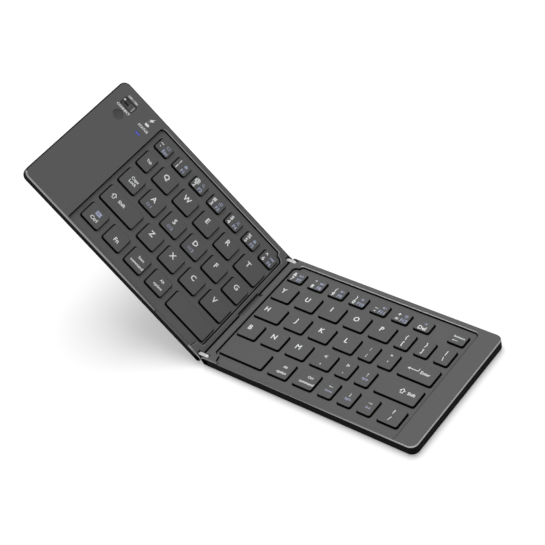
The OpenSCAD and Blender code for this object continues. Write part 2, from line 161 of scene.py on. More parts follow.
# places on the left end panel
SWITCH = Vector((LEFT.high.x - 13.5, LEFT.high.y - 11.4))
SWITCH_SIZE = Vector((10.4, 6.4))
SWITCH_CORNER = 1.0
BUTTON = Vector((LEFT.high.x - 13.2, LEFT.high.y - 21.5))
BUTTON_HOLE = 3.6
LENS = Vector((LEFT.high.x - 30.5, LEFT.high.y - 20.7))
LENS_SIZE = Vector((4.2, 1.6))

RIGHT_KEYS = (
    "right_number_keys", "delete_key", "backspace_key", "right_top_keys", "right_home_keys", "enter_key",
    "right_bottom_keys", "arrow_up_key", "right_shift_key", "right_space_key", "right_alt_key",
    "right_ctrl_key", "arrow_left_key", "arrow_down_key", "arrow_right_key",
)
LEFT_KEYS = (
    "escape_key", "left_number_keys", "tab_key", "left_top_keys", "caps_lock_key", "left_home_keys",
    "left_shift_key", "left_bottom_keys", "left_ctrl_key", "fn_key", "start_key", "left_alt_key",
    "left_space_key",
)
HALVES = ((RIGHT, RIGHT_KEYS), (LEFT, LEFT_KEYS))

# ---------------------------------------------------------------------------
# Properties
# ---------------------------------------------------------------------------


def length(name, text, default):
    return bpy.props.FloatProperty(
        name=name, description=text, default=default * MM, min=0, precision=5, subtype="DISTANCE",
        unit="LENGTH"
    )


def colour(name, text, default):
    return bpy.props.FloatVectorProperty(
        name=name, description=text, default=default, size=3, min=0, max=1, subtype="COLOR"
    )


class KeyboardSizes(bpy.types.PropertyGroup):
    right_rim_round: length("Right Rim Edge", "Width of the cut edge round the right cover", 0.5)
    left_rim_round: length("Left Rim Edge", "Width of the cut edge round the left cover", 0.82)
    tray_round: length("Tray Edge", "Rounding of the tray's upper edge", 0.42)
    right_shell_round: length("Right Shell Edge", "Rounding under the right shell", 1.0)
    left_shell_round: length("Left Shell Edge", "Rounding under the left shell", 2.0)
    cap_round: length("Key Edge", "Rounding of a key's upper edge", 0.28)
    letter_size: length("Letter Size", "Type size of the letters", 5.1)
    number_size: length("Number Size", "Type size of the numbers and small symbols", 4.1)
    word_size: length("Word Size", "Type size of the words", 2.7)
    print_step: length("Print Height", "Height of the printed legends over a key", 0.02)


class KeyboardColours(bpy.types.PropertyGroup):
    deck: colour("Covers", "Colour of the upper covers", (0.118, 0.118, 0.12))
    # the cut edge's light colour stands for a cut chamfer and for a painted highlight on it
    cut_edge: colour("Cut Edge", "Colour of the covers' cut edge", (0.3, 0.3, 0.303))
    keys: colour("Keys", "Colour of the key tops", (0.108, 0.108, 0.11))
    # the key sides and the tray walls are painted near-black as shade
    skirts: colour("Key Sides", "Colour of the key sides and tray walls", (0.003, 0.003, 0.0033))
    shell: colour("Shells", "Colour of the lower covers", (0.0025, 0.0025, 0.0028))
    legend: colour("Legends", "Colour of the main legends", (0.94, 0.95, 0.96))
    second: colour("Second Legends", "Colour of the legends used with Fn", (0.43, 0.47, 0.64))
    light: colour("Status Light", "Colour of the status light", (0.055, 0.07, 0.33))


class KeyboardStudio(bpy.types.PropertyGroup):
    overhead: bpy.props.FloatProperty(
        name="Overhead Light", description="Strength of the wide light overhead", default=1.4, min=0
    )
    softness: bpy.props.FloatProperty(
        name="Softness", description="How wide the overhead light is", default=math.radians(35), min=0,
        subtype="ANGLE", unit="ROTATION"
    )
    surround: bpy.props.FloatProperty(
        name="Surround", description="Strength of the light from all round", default=0.42, min=0
    )
    floor_glow: bpy.props.FloatProperty(
        name="Floor White", description="White that only the camera sees on the floor", default=0.31, min=0
    )


# ---------------------------------------------------------------------------
# Outlines, in millimetres
# ---------------------------------------------------------------------------


def arc(cx, cy, radius, start, stop, steps):
    angles = [math.radians(start + (stop - start) * i / steps) for i in range(steps + 1)]
    return [(cx + radius * math.cos(a), cy + radius * math.sin(a)) for a in angles]


def rounded(x0, x1, y0, y1, radius, steps=6):
    """A box with round corners, counterclockwise."""
    left, right, front, back = x0 + radius, x1 - radius, y0 + radius, y1 - radius
    corners = ((right, back, 0), (left, back, 90), (left, front, 180), (right, front, 270))
    return [point for x, y, turn in corners for point in arc(x, y, radius, turn, turn + 90, steps)]


def rounded_at(middle, size, radius):
    """A box of that size round its middle, with round corners."""
    x, y = size / 2
    return rounded(middle.x - x, middle.x + x, middle.y - y, middle.y + y, radius)


def circle(cx, cy, radius, steps=32):
    return arc(cx, cy, radius, 0, 360, steps)[:-1]


def hole(points):
    """The same outline the other way round, as the holes of a plate are."""
    return list(reversed(points))


def bar(x0, x1, y0, y1):
    """A box with sharp corners, counterclockwise."""
    return [(x0, y0), (x1, y0), (x1, y1), (x0, y1)]


def softened(points, radius):
    """The outline with each corner cut to a small arc-like bend, which takes less than half of a side."""
    steps, share = 3, 2.2
    made = []
    for i, here in enumerate(points):
        corner = Vector(here)
        before, after = Vector(points[i - 1]) - corner, Vector(points[(i + 1) % len(points)]) - corner
        reach = min(radius, before.length / share, after.length / share)
        start, stop = corner + before.normalized() * reach, corner + after.normalized() * reach
        for k in range(steps + 1):
            t = k / steps
            made.append(tuple(start * (1 - t) ** 2 + corner * 2 * t * (1 - t) + stop * t ** 2))
    return made


def inset(points, distance):
    """The outline moved into the material, which lies on the left of its direction."""
    nothing, sharpest = 1e-6, 0.3
    made = []
    for i, here in enumerate(points):
        before = Vector(here) - Vector(points[i - 1])
        after = Vector(points[(i + 1) % len(points)]) - Vector(here)
        if before.length < nothing or after.length < nothing:
            before = after = before if before.length > after.length else after
        normals = [Vector((d.y, -d.x)).normalized() for d in (before, after)]
        miter = (normals[0] + normals[1]) / max(1 + normals[0].dot(normals[1]), sharpest)
        made.append(tuple(Vector(here) - miter * distance))
    return made


# ---------------------------------------------------------------------------
# Meshes, in millimetres
# ---------------------------------------------------------------------------


def loop(mesh, points, z):
    """The points of an outline as vertices at one height."""
    return [mesh.verts.new((x, y, z)) for x, y in points]


def band(mesh, lower, upper, finish, smooth=True):
    """Quads between two loops of as many points."""
    for i in range(len(lower)):
        face = mesh.faces.new((lower[i - 1], lower[i], upper[i], upper[i - 1]))
        face.material_index = finish
        face.smooth = smooth


def fill(mesh, loops, finish):
    """A flat face between loops: the first is its edge and the others are holes."""
    edges = [mesh.edges.get((verts[i - 1], verts[i])) for verts in loops for i in range(len(verts))]
    made = bmesh.ops.triangle_fill(mesh, use_beauty=True, use_dissolve=False, edges=edges)
    for face in made["geom"]:
        if isinstance(face, bmesh.types.BMFace):
            face.material_index = finish


def quarter(radius, steps):
    """A quarter round from a wall to a flat face, as (inset, distance below the face)."""
    if radius <= 0:
        return [(0, 0)]
    angles = [math.pi / 2 * i / steps for i in range(steps + 1)]
    return [(radius * (1 - math.cos(a)), radius * (1 - math.sin(a))) for a in angles]


def sharp(outline, finish=0):
    """A rim of a plate that has no roundings and one finish."""
    return outline, 0, 0, finish, finish


def plate(mesh, rims, z0, z1, face=0):
    """A plate from z0 to z1. Each rim is (outline, top radius, bottom radius, edge finish, wall finish)."""
    steps = 3
    tops, bottoms = [], []
    for outline, top, bottom, edge, wall in rims:
        lower = [loop(mesh, inset(outline, d), z0 + drop) for d, drop in reversed(quarter(bottom, steps))]
        upper = [loop(mesh, inset(outline, d), z1 - drop) for d, drop in quarter(top, steps)]
        for a, b in zip(lower, lower[1:]):
            band(mesh, a, b, wall)
        band(mesh, lower[-1], upper[0], wall, smooth=False)
        for a, b in zip(upper, upper[1:]):
            band(mesh, a, b, edge)
        tops.append(upper[-1])
        bottoms.append(lower[0])
    fill(mesh, tops, face)
    fill(mesh, bottoms, face)


def cup(mesh, outline, closed, opened, wall, skin, radius, finishes):
    """A thin-walled cover, closed at one z and open at the other. finishes are (face, edge, wall)."""
    way = 1 if opened > closed else -1
    flat, edge, side = finishes
    lip = 0.1
    steps = 6 if radius > 1 else 3
    bend = reversed(quarter(radius, steps))
    loops = [loop(mesh, inset(outline, d), closed + way * drop) for d, drop in bend]
    for a, b in zip(loops, loops[1:]):
        band(mesh, a, b, edge)
    rim = [
        loop(mesh, inset(outline, d), z)
        for d, z in ((0, opened - way * lip), (lip, opened), (wall, opened), (wall, closed + way * skin))
    ]
    for a, b in zip([loops[-1]] + rim, rim):
        band(mesh, a, b, side, smooth=False)
    fill(mesh, [loops[0]], flat)
    fill(mesh, [rim[-1]], side)


def rod(mesh, x, z, radius, y0, y1, finishes, climb, edge):
    """A round bar along y with rounded ends.

    finishes are (top, below, front edge, ends). The one below, painted shade, climbs by 30 degrees, and on
    the seam's side by climb, in degrees."""
    steps, segments = 3, 48
    rings = [(radius - d, y0 + drop) for d, drop in reversed(quarter(edge, steps))]
    rings += [(radius - d, y1 - drop) for d, drop in quarter(edge, steps)]
    loops = [
        [mesh.verts.new((x + px, y, z + pz)) for px, pz in circle(0, 0, r, segments)] for r, y in rings
    ]
    top, below, front, ends = finishes
    seam_side = x - radius * math.cos(math.radians(climb))
    for i, (a, b) in enumerate(zip(loops, loops[1:])):
        before = len(mesh.faces)
        band(mesh, a, b, top)
        mesh.faces.ensure_lookup_table()
        for face in mesh.faces[before:]:
            middle = face.calc_center_median()
            if i < steps and middle.z > z:
                face.material_index = front
            elif middle.z < z + radius / 2 or middle.x < seam_side:
                face.material_index = below
    for verts, finish in zip((loops[0], loops[-1]), ends):
        mesh.faces.new(verts).material_index = finish


def data_of(name, mesh):
    """The mesh data of a finished bmesh, which is freed."""
    data = bpy.data.meshes.new(name)
    mesh.to_mesh(data)
    mesh.free()
    return data


def placed(name, data):
    """An object of that data, linked into the scene."""
    made = bpy.data.objects.new(name, data)
    bpy.context.collection.objects.link(made)
    return made


def solid(name, mesh):
    """A closed mesh as an object whose faces look outward, for cutting."""
    bmesh.ops.recalc_face_normals(mesh, faces=mesh.faces)
    return placed(name, data_of(name, mesh))


def punch(outline, z0, z1, finish=0, turned=False):
    """A cutter of that outline, which leaves faces of that finish. Turned, its thickness lies along y."""
    tool = bmesh.new()
    plate(tool, [sharp(outline, finish)], z0, z1, finish)
    return solid("cutter", along_hinge(tool) if turned else tool)


def cut(mesh, cutters):
    """The mesh less the cutters."""
    body = solid("uncut", mesh)
    for tool in cutters:
        modifier = body.modifiers.new("cut", "BOOLEAN")
        modifier.operation = "DIFFERENCE"
        modifier.solver = "MANIFOLD"
        modifier.object = tool
    bpy.context.view_layer.update()
    result = bmesh.new()
    result.from_object(body, bpy.context.evaluated_depsgraph_get())
    for spare in [body] + cutters:
        bpy.data.meshes.remove(spare.data)
    return result


def along_hinge(mesh):
    """Turns a plate drawn in x and z so that its thickness lies along y."""
    mesh.transform(Matrix.Rotation(math.pi / 2, 4, "X"))
    return mesh


def add_object(name, mesh, finishes):
    """Puts a mesh drawn in the row frame's metres into the scene."""
    data = data_of(name, mesh)
    for finish in finishes:
        data.materials.append(finish_of(finish))
    return placed(name, data)


def add_piece(name, mesh, half, body, finishes, replaced=()):
    """Puts a mesh drawn in a half's millimetres into the scene, where it rides on a body."""
    bmesh.ops.recalc_face_normals(mesh, faces=mesh.faces)
    mesh.transform(half.place)
    if half.place.is_negative:
        bmesh.ops.reverse_faces(mesh, faces=mesh.faces)
    piece = add_object(name, mesh, finishes)
    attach(piece, body)
    if replaced:
        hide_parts(*replaced)
    return piece


# ---------------------------------------------------------------------------
# Node groups and finishes
# ---------------------------------------------------------------------------


def new_group(name, inputs, outputs):
    group = bpy.data.node_groups.new(name, "ShaderNodeTree")
    for label, kind, default in inputs:
        socket = group.interface.new_socket(name=label, in_out="INPUT", socket_type="NodeSocket" + kind)
        socket.default_value = default
    for label, kind in outputs:
        group.interface.new_socket(name=label, in_out="OUTPUT", socket_type="NodeSocket" + kind)
    return group, group.nodes.new("NodeGroupInput"), group.nodes.new("NodeGroupOutput")


def math_node(group, operation, first, second):
    """A math node whose operands are sockets or numbers."""
    node = group.nodes.new("ShaderNodeMath")
    node.operation = operation
    for socket, value in zip(node.inputs, (first, second)):
        if isinstance(value, (int, float)):
            socket.default_value = value
        else:
            group.links.new(value, socket)
    return node.outputs[0]


def noise(group, coordinates, scale, detail, roughness=0.5):
    node = group.nodes.new("ShaderNodeTexNoise")
    node.inputs["Detail"].default_value = detail
    node.inputs["Roughness"].default_value = roughness
    group.links.new(coordinates, node.inputs["Vector"])
    if isinstance(scale, (int, float)):
        node.inputs["Scale"].default_value = scale
    else:
        group.links.new(scale, node.inputs["Scale"])
    return node.outputs["Fac"]


def shaded(group, base, amount, mask):
    """base made lighter and darker by amount, as the mask goes from 1 to 0."""
    swing = math_node(group, "MULTIPLY", math_node(group, "SUBTRACT", mask, 0.5), amount)
    factor = math_node(group, "ADD", math_node(group, "MULTIPLY", swing, 2.0), 1.0)
    mix = group.nodes.new("ShaderNodeVectorMath")
    mix.operation = "SCALE"
    group.links.new(base, mix.inputs[0])
    group.links.new(factor, mix.inputs["Scale"])
    return mix.outputs[0]


def drifted(group, base, drift, mask):
    """base plus up to half of drift either way, as the mask goes from 1 to 0."""
    swing = math_node(group, "MULTIPLY", math_node(group, "SUBTRACT", mask, 0.5), drift)
    return math_node(group, "ADD", base, swing)


def bumped(group, height, strength, distance):
    node = group.nodes.new("ShaderNodeBump")
    node.inputs["Distance"].default_value = distance
    group.links.new(strength, node.inputs["Strength"])
    group.links.new(height, node.inputs["Height"])
    return node.outputs["Normal"]


def build_moulded_grain():
    """Fine grain of moulded or sprayed plastic, with a slow drift of tone and faint handling marks."""
    group, given, out = new_group(
        "Moulded Grain",
        (("Color", "Color", (0.5, 0.5, 0.5, 1)), ("Tone Drift", "Float", 0.03), ("Speckle", "Float", 0.05),
         ("Roughness", "Float", 0.5), ("Roughness Drift", "Float", 0.06), ("Grain Scale", "Float", 3500.0),
         ("Grain Depth", "Float", 0.2)),
        (("Color", "Color"), ("Roughness", "Float"), ("Normal", "Vector")),
    )
    place = group.nodes.new("ShaderNodeTexCoord").outputs["Object"]
    grain = noise(group, place, scale=given.outputs["Grain Scale"], detail=2.0)
    drift = noise(group, place, scale=28.0, detail=3.0)
    marks = noise(group, place, scale=160.0, detail=4.0, roughness=0.65)
    toned = shaded(group, given.outputs["Color"], given.outputs["Tone Drift"], drift)
    speckled = shaded(group, toned, given.outputs["Speckle"], grain)
    rough = drifted(group, given.outputs["Roughness"], given.outputs["Roughness Drift"], marks)
    group.links.new(speckled, out.inputs["Color"])
    group.links.new(rough, out.inputs["Roughness"])
    bump = bumped(group, grain, given.outputs["Grain Depth"], distance=0.00004)
    group.links.new(bump, out.inputs["Normal"])
    return group


def build_drawn_metal():
    """Metal with fine lines along one direction, set by how far the pattern is stretched on each axis."""
    group, given, out = new_group(
        "Drawn Metal",
        (("Color", "Color", (0.6, 0.6, 0.6, 1)), ("Stretch", "Vector", (6000.0, 300.0, 6000.0)),
         ("Line Shade", "Float", 0.08), ("Roughness", "Float", 0.25), ("Roughness Drift", "Float", 0.12),
         ("Line Depth", "Float", 0.15)),
        (("Color", "Color"), ("Roughness", "Float"), ("Normal", "Vector")),
    )
    place = group.nodes.new("ShaderNodeTexCoord").outputs["Object"]
    stretched = group.nodes.new("ShaderNodeVectorMath")
    stretched.operation = "MULTIPLY"
    group.links.new(place, stretched.inputs[0])
    group.links.new(given.outputs["Stretch"], stretched.inputs[1])
    lines = noise(group, stretched.outputs[0], scale=1.0, detail=3.0, roughness=0.6)
    smears = noise(group, place, scale=220.0, detail=3.0)
    lined = shaded(group, given.outputs["Color"], given.outputs["Line Shade"], lines)
    rough = drifted(group, given.outputs["Roughness"], given.outputs["Roughness Drift"], smears)
    group.links.new(lined, out.inputs["Color"])
    group.links.new(rough, out.inputs["Roughness"])
    bump = bumped(group, lines, given.outputs["Line Depth"], distance=0.00003)
    group.links.new(bump, out.inputs["Normal"])
    return group


GROUP_BUILDERS = {"Moulded Grain": build_moulded_grain, "Drawn Metal": build_drawn_metal}


def group_of(name):
    """The node group of that name, built when it is first asked for."""
    return bpy.data.node_groups.get(name) or GROUP_BUILDERS[name]()


def grain(tone, speckle, drift, scale, depth):
    """A surface with the moulded grain: drift of tone, speckle, drift of roughness, fineness and depth."""
    return "Moulded Grain", {
        "Tone Drift": tone, "Speckle": speckle, "Roughness Drift": drift, "Grain Scale": scale,
        "Grain Depth": depth,
    }


def drawn(stretch, shade, drift, depth):
    """A surface with drawn lines: fineness on each axis, shade, drift of roughness and depth."""
    return "Drawn Metal", {
        "Stretch": stretch, "Line Shade": shade, "Roughness Drift": drift, "Line Depth": depth,
    }


def own_colour(name):
    """The colour that the user has set for a finish."""
    return tuple(getattr(bpy.context.scene.keyboard_colours, name))


MATT = {"Specular IOR Level": 0.22}

# name: (colour or the name of a colour property, roughness, metallic, surface, other shader values)
FINISHES = {
    "Sprayed Cover": ("deck", 0.6, 0.0, grain(0.03, 0.1, 0.06, 2600.0, 0.35), MATT),
    # the cut edge: a cut chamfer whose light colour is also a painted highlight
    "Cut Edge": ("cut_edge", 0.34, 0.9, grain(0.05, 0.04, 0.08, 4000.0, 0.1), {}),
    # a dimmer painted highlight on some edges
    "Worn Edge": ((0.22, 0.22, 0.222), 0.5, 0.3, grain(0.1, 0.06, 0.1, 1500.0, 0.15), {}),
    "Key Top": ("keys", 0.55, 0.0, grain(0.02, 0.07, 0.08, 4200.0, 0.25), MATT),
    # near-black painted shade on key sides, walls and hollows
    "Key Side": ("skirts", 0.6, 0.0, grain(0.04, 0.05, 0.06, 4200.0, 0.2), {"Specular IOR Level": 0.04}),
    "Black Base": ("shell", 0.7, 0.0, grain(0.05, 0.1, 0.08, 1500.0, 0.5), {"Specular IOR Level": 0.05}),
    "White Print": ("legend", 0.6, 0.0, grain(0.02, 0.06, 0.04, 5000.0, 0.15), MATT),
    "Blue Print": ("second", 0.6, 0.0, grain(0.03, 0.06, 0.04, 5000.0, 0.15), MATT),
    "Bright Link": ((0.41, 0.41, 0.415), 0.45, 0.9, drawn((300.0, 7000.0, 300.0), 0.05, 0.1, 0.1), {}),
    # the links' flat sides, painted dark as shade
    "Dark Link": ((0.03, 0.03, 0.031), 0.5, 0.6, drawn((300.0, 300.0, 7000.0), 0.05, 0.1, 0.1), {}),
    # painted shade on the cable bridge
    "Bridge Grey": ((0.08, 0.08, 0.081), 0.6, 0.0, grain(0.04, 0.08, 0.06, 3000.0, 0.3), MATT),
    "Recess Black": ((0.03, 0.03, 0.031), 0.6, 0.0, grain(0.04, 0.08, 0.05, 3000.0, 0.3), {}),
    "Slider Grey": ((0.09, 0.09, 0.092), 0.5, 0.0, grain(0.03, 0.06, 0.06, 3000.0, 0.25), {}),
    # the switch knob's light tip, a painted highlight
    "Slider Tip": ((0.3, 0.3, 0.303), 0.45, 0.0, grain(0.03, 0.06, 0.06, 3000.0, 0.25), {}),
    "Button Grey": ((0.078, 0.078, 0.08), 0.55, 0.0, grain(0.1, 0.08, 0.06, 900.0, 0.25), MATT),
    "Foot Rubber": ((0.016, 0.016, 0.017), 0.85, 0.0, grain(0.06, 0.15, 0.05, 1800.0, 0.6), {}),
    "Zinc Screw": ((0.6, 0.6, 0.62), 0.28, 1.0, drawn((900.0, 900.0, 900.0), 0.1, 0.14, 0.2), {}),
    "Nickel": ((0.55, 0.55, 0.57), 0.2, 1.0, drawn((1200.0, 1200.0, 1200.0), 0.06, 0.1, 0.1), {}),
    "Plated Sheet": ((0.5, 0.51, 0.53), 0.32, 1.0, drawn((400.0, 5000.0, 400.0), 0.1, 0.12, 0.15), {}),
    "Smoke Film": ((0.05, 0.058, 0.055), 0.4, 0.0, grain(0.1, 0.08, 0.1, 900.0, 0.1), {}),
    "Silicone": (
        (0.5, 0.49, 0.46), 0.55, 0.0, grain(0.04, 0.04, 0.08, 1500.0, 0.1), {"Subsurface Weight": 0.1}
    ),
    "Acetal": ((0.4, 0.4, 0.4), 0.45, 0.0, grain(0.02, 0.04, 0.06, 2400.0, 0.15), {}),
    "Amber Film": (
        (0.42, 0.2, 0.05), 0.3, 0.0, drawn((300.0, 9000.0, 300.0), 0.3, 0.06, 0.1), {"Coat Weight": 0.4}
    ),
    "Green Board": (
        (0.015, 0.13, 0.06), 0.35, 0.0, grain(0.15, 0.1, 0.08, 700.0, 0.25), {"Coat Weight": 0.5}
    ),
    "Foil Pouch": ((0.5, 0.51, 0.54), 0.34, 0.9, grain(0.08, 0.05, 0.16, 500.0, 0.4), {}),
    "Dark Moulding": ((0.05, 0.053, 0.058), 0.5, 0.0, grain(0.04, 0.08, 0.06, 2800.0, 0.25), {}),
    "Lit Lens": ("light", 0.2, 0.0, grain(0.1, 0.05, 0.05, 1500.0, 0.1), {"Emission Strength": 0.45}),
}


def finish_of(name):
    """The material of that name, made when it is first asked for."""
    made = bpy.data.materials.get(name)
    if made:
        return made
    base, roughness, metallic, (group_name, values), extra = FINISHES[name]
    base = (*(own_colour(base) if isinstance(base, str) else base), 1.0)
    made = bpy.data.materials.new(name)
    made.use_nodes = True
    made.diffuse_color = base
    nodes, links = made.node_tree.nodes, made.node_tree.links
    shader = nodes["Principled BSDF"]
    surface = nodes.new("ShaderNodeGroup")
    surface.node_tree = group_of(group_name)
    surface.inputs["Color"].default_value = base
    surface.inputs["Roughness"].default_value = roughness
    for label, value in values.items():
        surface.inputs[label].default_value = value
    shader.inputs["Metallic"].default_value = metallic
    for label, value in extra.items():
        shader.inputs[label].default_value = value
    links.new(surface.outputs["Color"], shader.inputs["Base Color"])
    links.new(surface.outputs["Roughness"], shader.inputs["Roughness"])
    links.new(surface.outputs["Normal"], shader.inputs["Normal"])
    if "Emission Strength" in extra:
        shader.inputs["Emission Color"].default_value = base
    return made


# ---------------------------------------------------------------------------
# Covers
# ---------------------------------------------------------------------------


def half_outline(half, x0):
    """A half seen from above, from x0 outward."""
    radius, steps = 5.0, 10
    x1, y0, y1 = half.high.x, half.low.y, half.high.y
    points = [(x0, y0)] + arc(x1 - radius, y0 + radius, radius, 270, 360, steps)
    return points + arc(x1 - radius, y1 - radius, radius, 0, 90, steps) + [(x0, y1)]


def tray_outline(half, start):
    """The tray's outline from start outward. Its corners beside the hinge step round the links."""
    tray = half.tray
    step, neck, full = 8.3, 10.4, 11.4    # how far out the corners step
    inner_y, step_y = (half.high.y - room for room in (8.2, 6.6))
    bevel, soft = 2, 0.8
    return softened([
        (start, -inner_y), (step, -step_y), (neck, -step_y), (full, tray.front),
        (tray.outer, tray.front), (tray.outer, tray.back - bevel), (tray.outer - bevel, tray.back),
        (full, tray.back), (neck, step_y), (step, step_y), (start, inner_y),
    ], soft)


def hinge_slots():
    """The slots of the front link, the cable bridge and the back link, as (y0, y1, radius)."""
    y0, y1 = LINK_BOX[0].y - SLOT_GAP, LINK_BOX[1].y + SLOT_GAP
    bridge = (BRIDGE_BOX[0].y - SLOT_GAP, BRIDGE_BOX[1].y + SLOT_GAP, BRIDGE_R + SLOT_PLAY)
    return (-y1, -y0, LINK_R + SLOT_PLAY), bridge, (y0, y1, LINK_R + SLOT_PLAY)


def hinge_cutters():
    """What is cut from the rim for the links and the bridge. Its roof stays over the bridge's knuckle."""
    front, (y0, y1, radius), back = hinge_slots()
    start, under, over = AXIS_X - 1, SKIN_Z - 1, 1
    # the links' slots are left with walls of painted shade
    tools = [
        punch(bar(start, AXIS_X + depth, low, high), under, over, PAINTED_SHADE) for low, high, depth in (front, back)
    ]
    tools.append(punch(bar(start, AXIS_X + radius, y0, y1), under, ROOF_Z, COVER))
    tools.append(punch(bar(start, AXIS_X + WEB_TOP + SLOT_PLAY, y0, y1), under, over, COVER))
    return tools


def key_holes(half, keys):
    """The holes that the keys stand in."""
    gap, corner = 0.5, 1.6
    for node in keys:
        for low, high in half.solids_of(node):
            yield rounded(low.x - gap, high.x + gap, low.y - gap, high.y + gap, corner)


def panel_holes():
    """The openings in the left end panel."""
    return (
        rounded_at(SWITCH, SWITCH_SIZE, SWITCH_CORNER),
        circle(BUTTON.x, BUTTON.y, BUTTON_HOLE),
        rounded_at(LENS, LENS_SIZE, LENS_SIZE.y / 2 - 0.05),
    )


# finishes of a cover: its paint, the cut edge with its painted highlight, near-black painted shade, and a
# dimmer painted highlight
COVER, EDGE_WITH_HIGHLIGHT, PAINTED_SHADE, DIM_HIGHLIGHT = range(4)


def rim_finish(half, finish, at):
    """The finish of a rim face at that place. Parts of its edges carry a painted highlight, a dimmer painted
    highlight or painted shade.
    """
    tray, back = half.tray, half.high.y
    near, corner = 0.6, 2.5
    dim_highlight_length, dim_highlight_reach, middle_depth = 7, 5, 1
    in_middle = abs(at.y) < back / 2
    beside_hinge = at.x < AXIS_X + LINK_R + near and abs(at.y) < back - near
    if beside_hinge and (finish == EDGE_WITH_HIGHLIGHT or in_middle):
        finish = COVER
    bright_end = back - corner if half is RIGHT else half.low.y + corner
    # past its bright end the rim's edge takes painted shade
    if finish == EDGE_WITH_HIGHLIGHT and at.y > bright_end:
        finish = PAINTED_SHADE
    # the front edge near the hinge takes the dimmer painted highlight; the tray's edge takes a painted
    # highlight at its back, painted shade at its outer end, and the dimmer painted highlight only beside the
    # hinge on the left half
    if finish == EDGE_WITH_HIGHLIGHT and at.y < 0 and at.x < AXIS_X + dim_highlight_length:
        finish = DIM_HIGHLIGHT
    elif finish == DIM_HIGHLIGHT:
        if at.y > tray.back - near:
            finish = EDGE_WITH_HIGHLIGHT
        elif at.x > tray.outer - near:
            finish = PAINTED_SHADE
        elif half is RIGHT or at.x > tray.inner + dim_highlight_reach:
            finish = COVER
    return COVER if in_middle and at.x < AXIS_X + middle_depth else finish


def build_rim(half):
    """The flat rim round the tray, lowered at the front beside the space bar."""
    sizes = bpy.context.scene.keyboard_sizes
    tray = half.tray
    mesh = bmesh.new()
    rim_round = getattr(sizes, half.side + "_rim_round") / MM
    small = 0.12                          # rounding of the other edges
    # the outer side and the tray's wall take painted shade; the outer edge is the cut edge with its painted
    # highlight, and the tray's edge the dimmer painted highlight
    rims = [
        (half_outline(half, AXIS_X), rim_round, small, EDGE_WITH_HIGHLIGHT, PAINTED_SHADE),
        (hole(tray_outline(half, tray.inner)), sizes.tray_round / MM, 0, DIM_HIGHLIGHT, PAINTED_SHADE),
    ]
    if half is LEFT:
        switch, button, lens = panel_holes()
        # the openings' rounded edges and walls take painted shade, save the switch opening's wall and the
        # button hole's edge
        rims += [
            (hole(switch), small, 0, PAINTED_SHADE, COVER), (hole(button), 0, 0, COVER, PAINTED_SHADE),
            (hole(lens), small, 0, PAINTED_SHADE, PAINTED_SHADE),
        ]
    plate(mesh, rims, SKIN_Z, 0)
    low, high = half.solids_of(half.side + "_space_key")[0]
    after_key, past_key, into_tray, dip_floor = 4.9, 1.9, 0.4, -1.0
    dip = bar(low.x + after_key, high.x + past_key, half.low.y - 1, tray.front + into_tray)
    mesh = cut(mesh, [punch(dip, dip_floor, 1, COVER)] + hinge_cutters())
    for face in mesh.faces:
        face.material_index = rim_finish(half, face.material_index, face.calc_center_median())
    return mesh


def build_deck(half, keys):
    """The upper cover: rim, tray walls, tray floor and hinge barrel."""
    tray, groove = half.tray, half.tray.groove
    edge = tray_outline(half, tray.inner)
    base = tray_outline(half, tray.floor_start - groove)
    bottom = SKIN_Z - 1.4
    hair, round_edge = 0.01, 0.1
    mesh = build_rim(half)
    # walls of the tray, painted near-black as shade, and the black groove at their foot
    wall, foot, foot_reach, foot_drop = 1.2, 0.8, 0.5, 0.6
    plate(mesh, [sharp(inset(edge, -wall), PAINTED_SHADE), sharp(hole(inset(edge, -hair)), PAINTED_SHADE)],
          bottom, SKIN_Z + 0.1, PAINTED_SHADE)
    plate(mesh, [sharp(inset(edge, -foot), PAINTED_SHADE), sharp(hole(inset(base, groove + foot_reach)), PAINTED_SHADE)],
          bottom, tray.floor - foot_drop, PAINTED_SHADE)
    # the floor's side and the key holes' edges and walls are painted shade
    floor = [(inset(base, groove), round_edge, 0, COVER, PAINTED_SHADE)]
    floor += [(hole(points), round_edge, 0, PAINTED_SHADE, PAINTED_SHADE) for points in key_holes(half, keys)]
    plate(mesh, floor, bottom, tray.floor)
    stops = [half.low.y] + [y for y0, y1, _ in hinge_slots() for y in (y0, y1)] + [half.high.y]
    # the barrel takes painted shade under it, on its seam side and at its outer ends, and a painted
    # highlight on its front end's edge
    shade_climb = 30 if half is RIGHT else 83
    for y0, y1 in zip(stops[::2], stops[1::2]):
        ends = [COVER if abs(y) < half.high.y / 2 else PAINTED_SHADE for y in (y0, y1)]
        front, end_round = (EDGE_WITH_HIGHLIGHT, 0.4) if y0 == half.low.y else (COVER, 0.15)
        rod(mesh, AXIS_X, AXIS_Z, BARREL_R, y0, y1, (COVER, PAINTED_SHADE, front, ends), shade_climb, end_round)
    add_piece(
        half.side + "_cover", mesh, half, half.body,
        ("Sprayed Cover", "Cut Edge", "Key Side", "Worn Edge"), (half.side + "_deck",)
    )


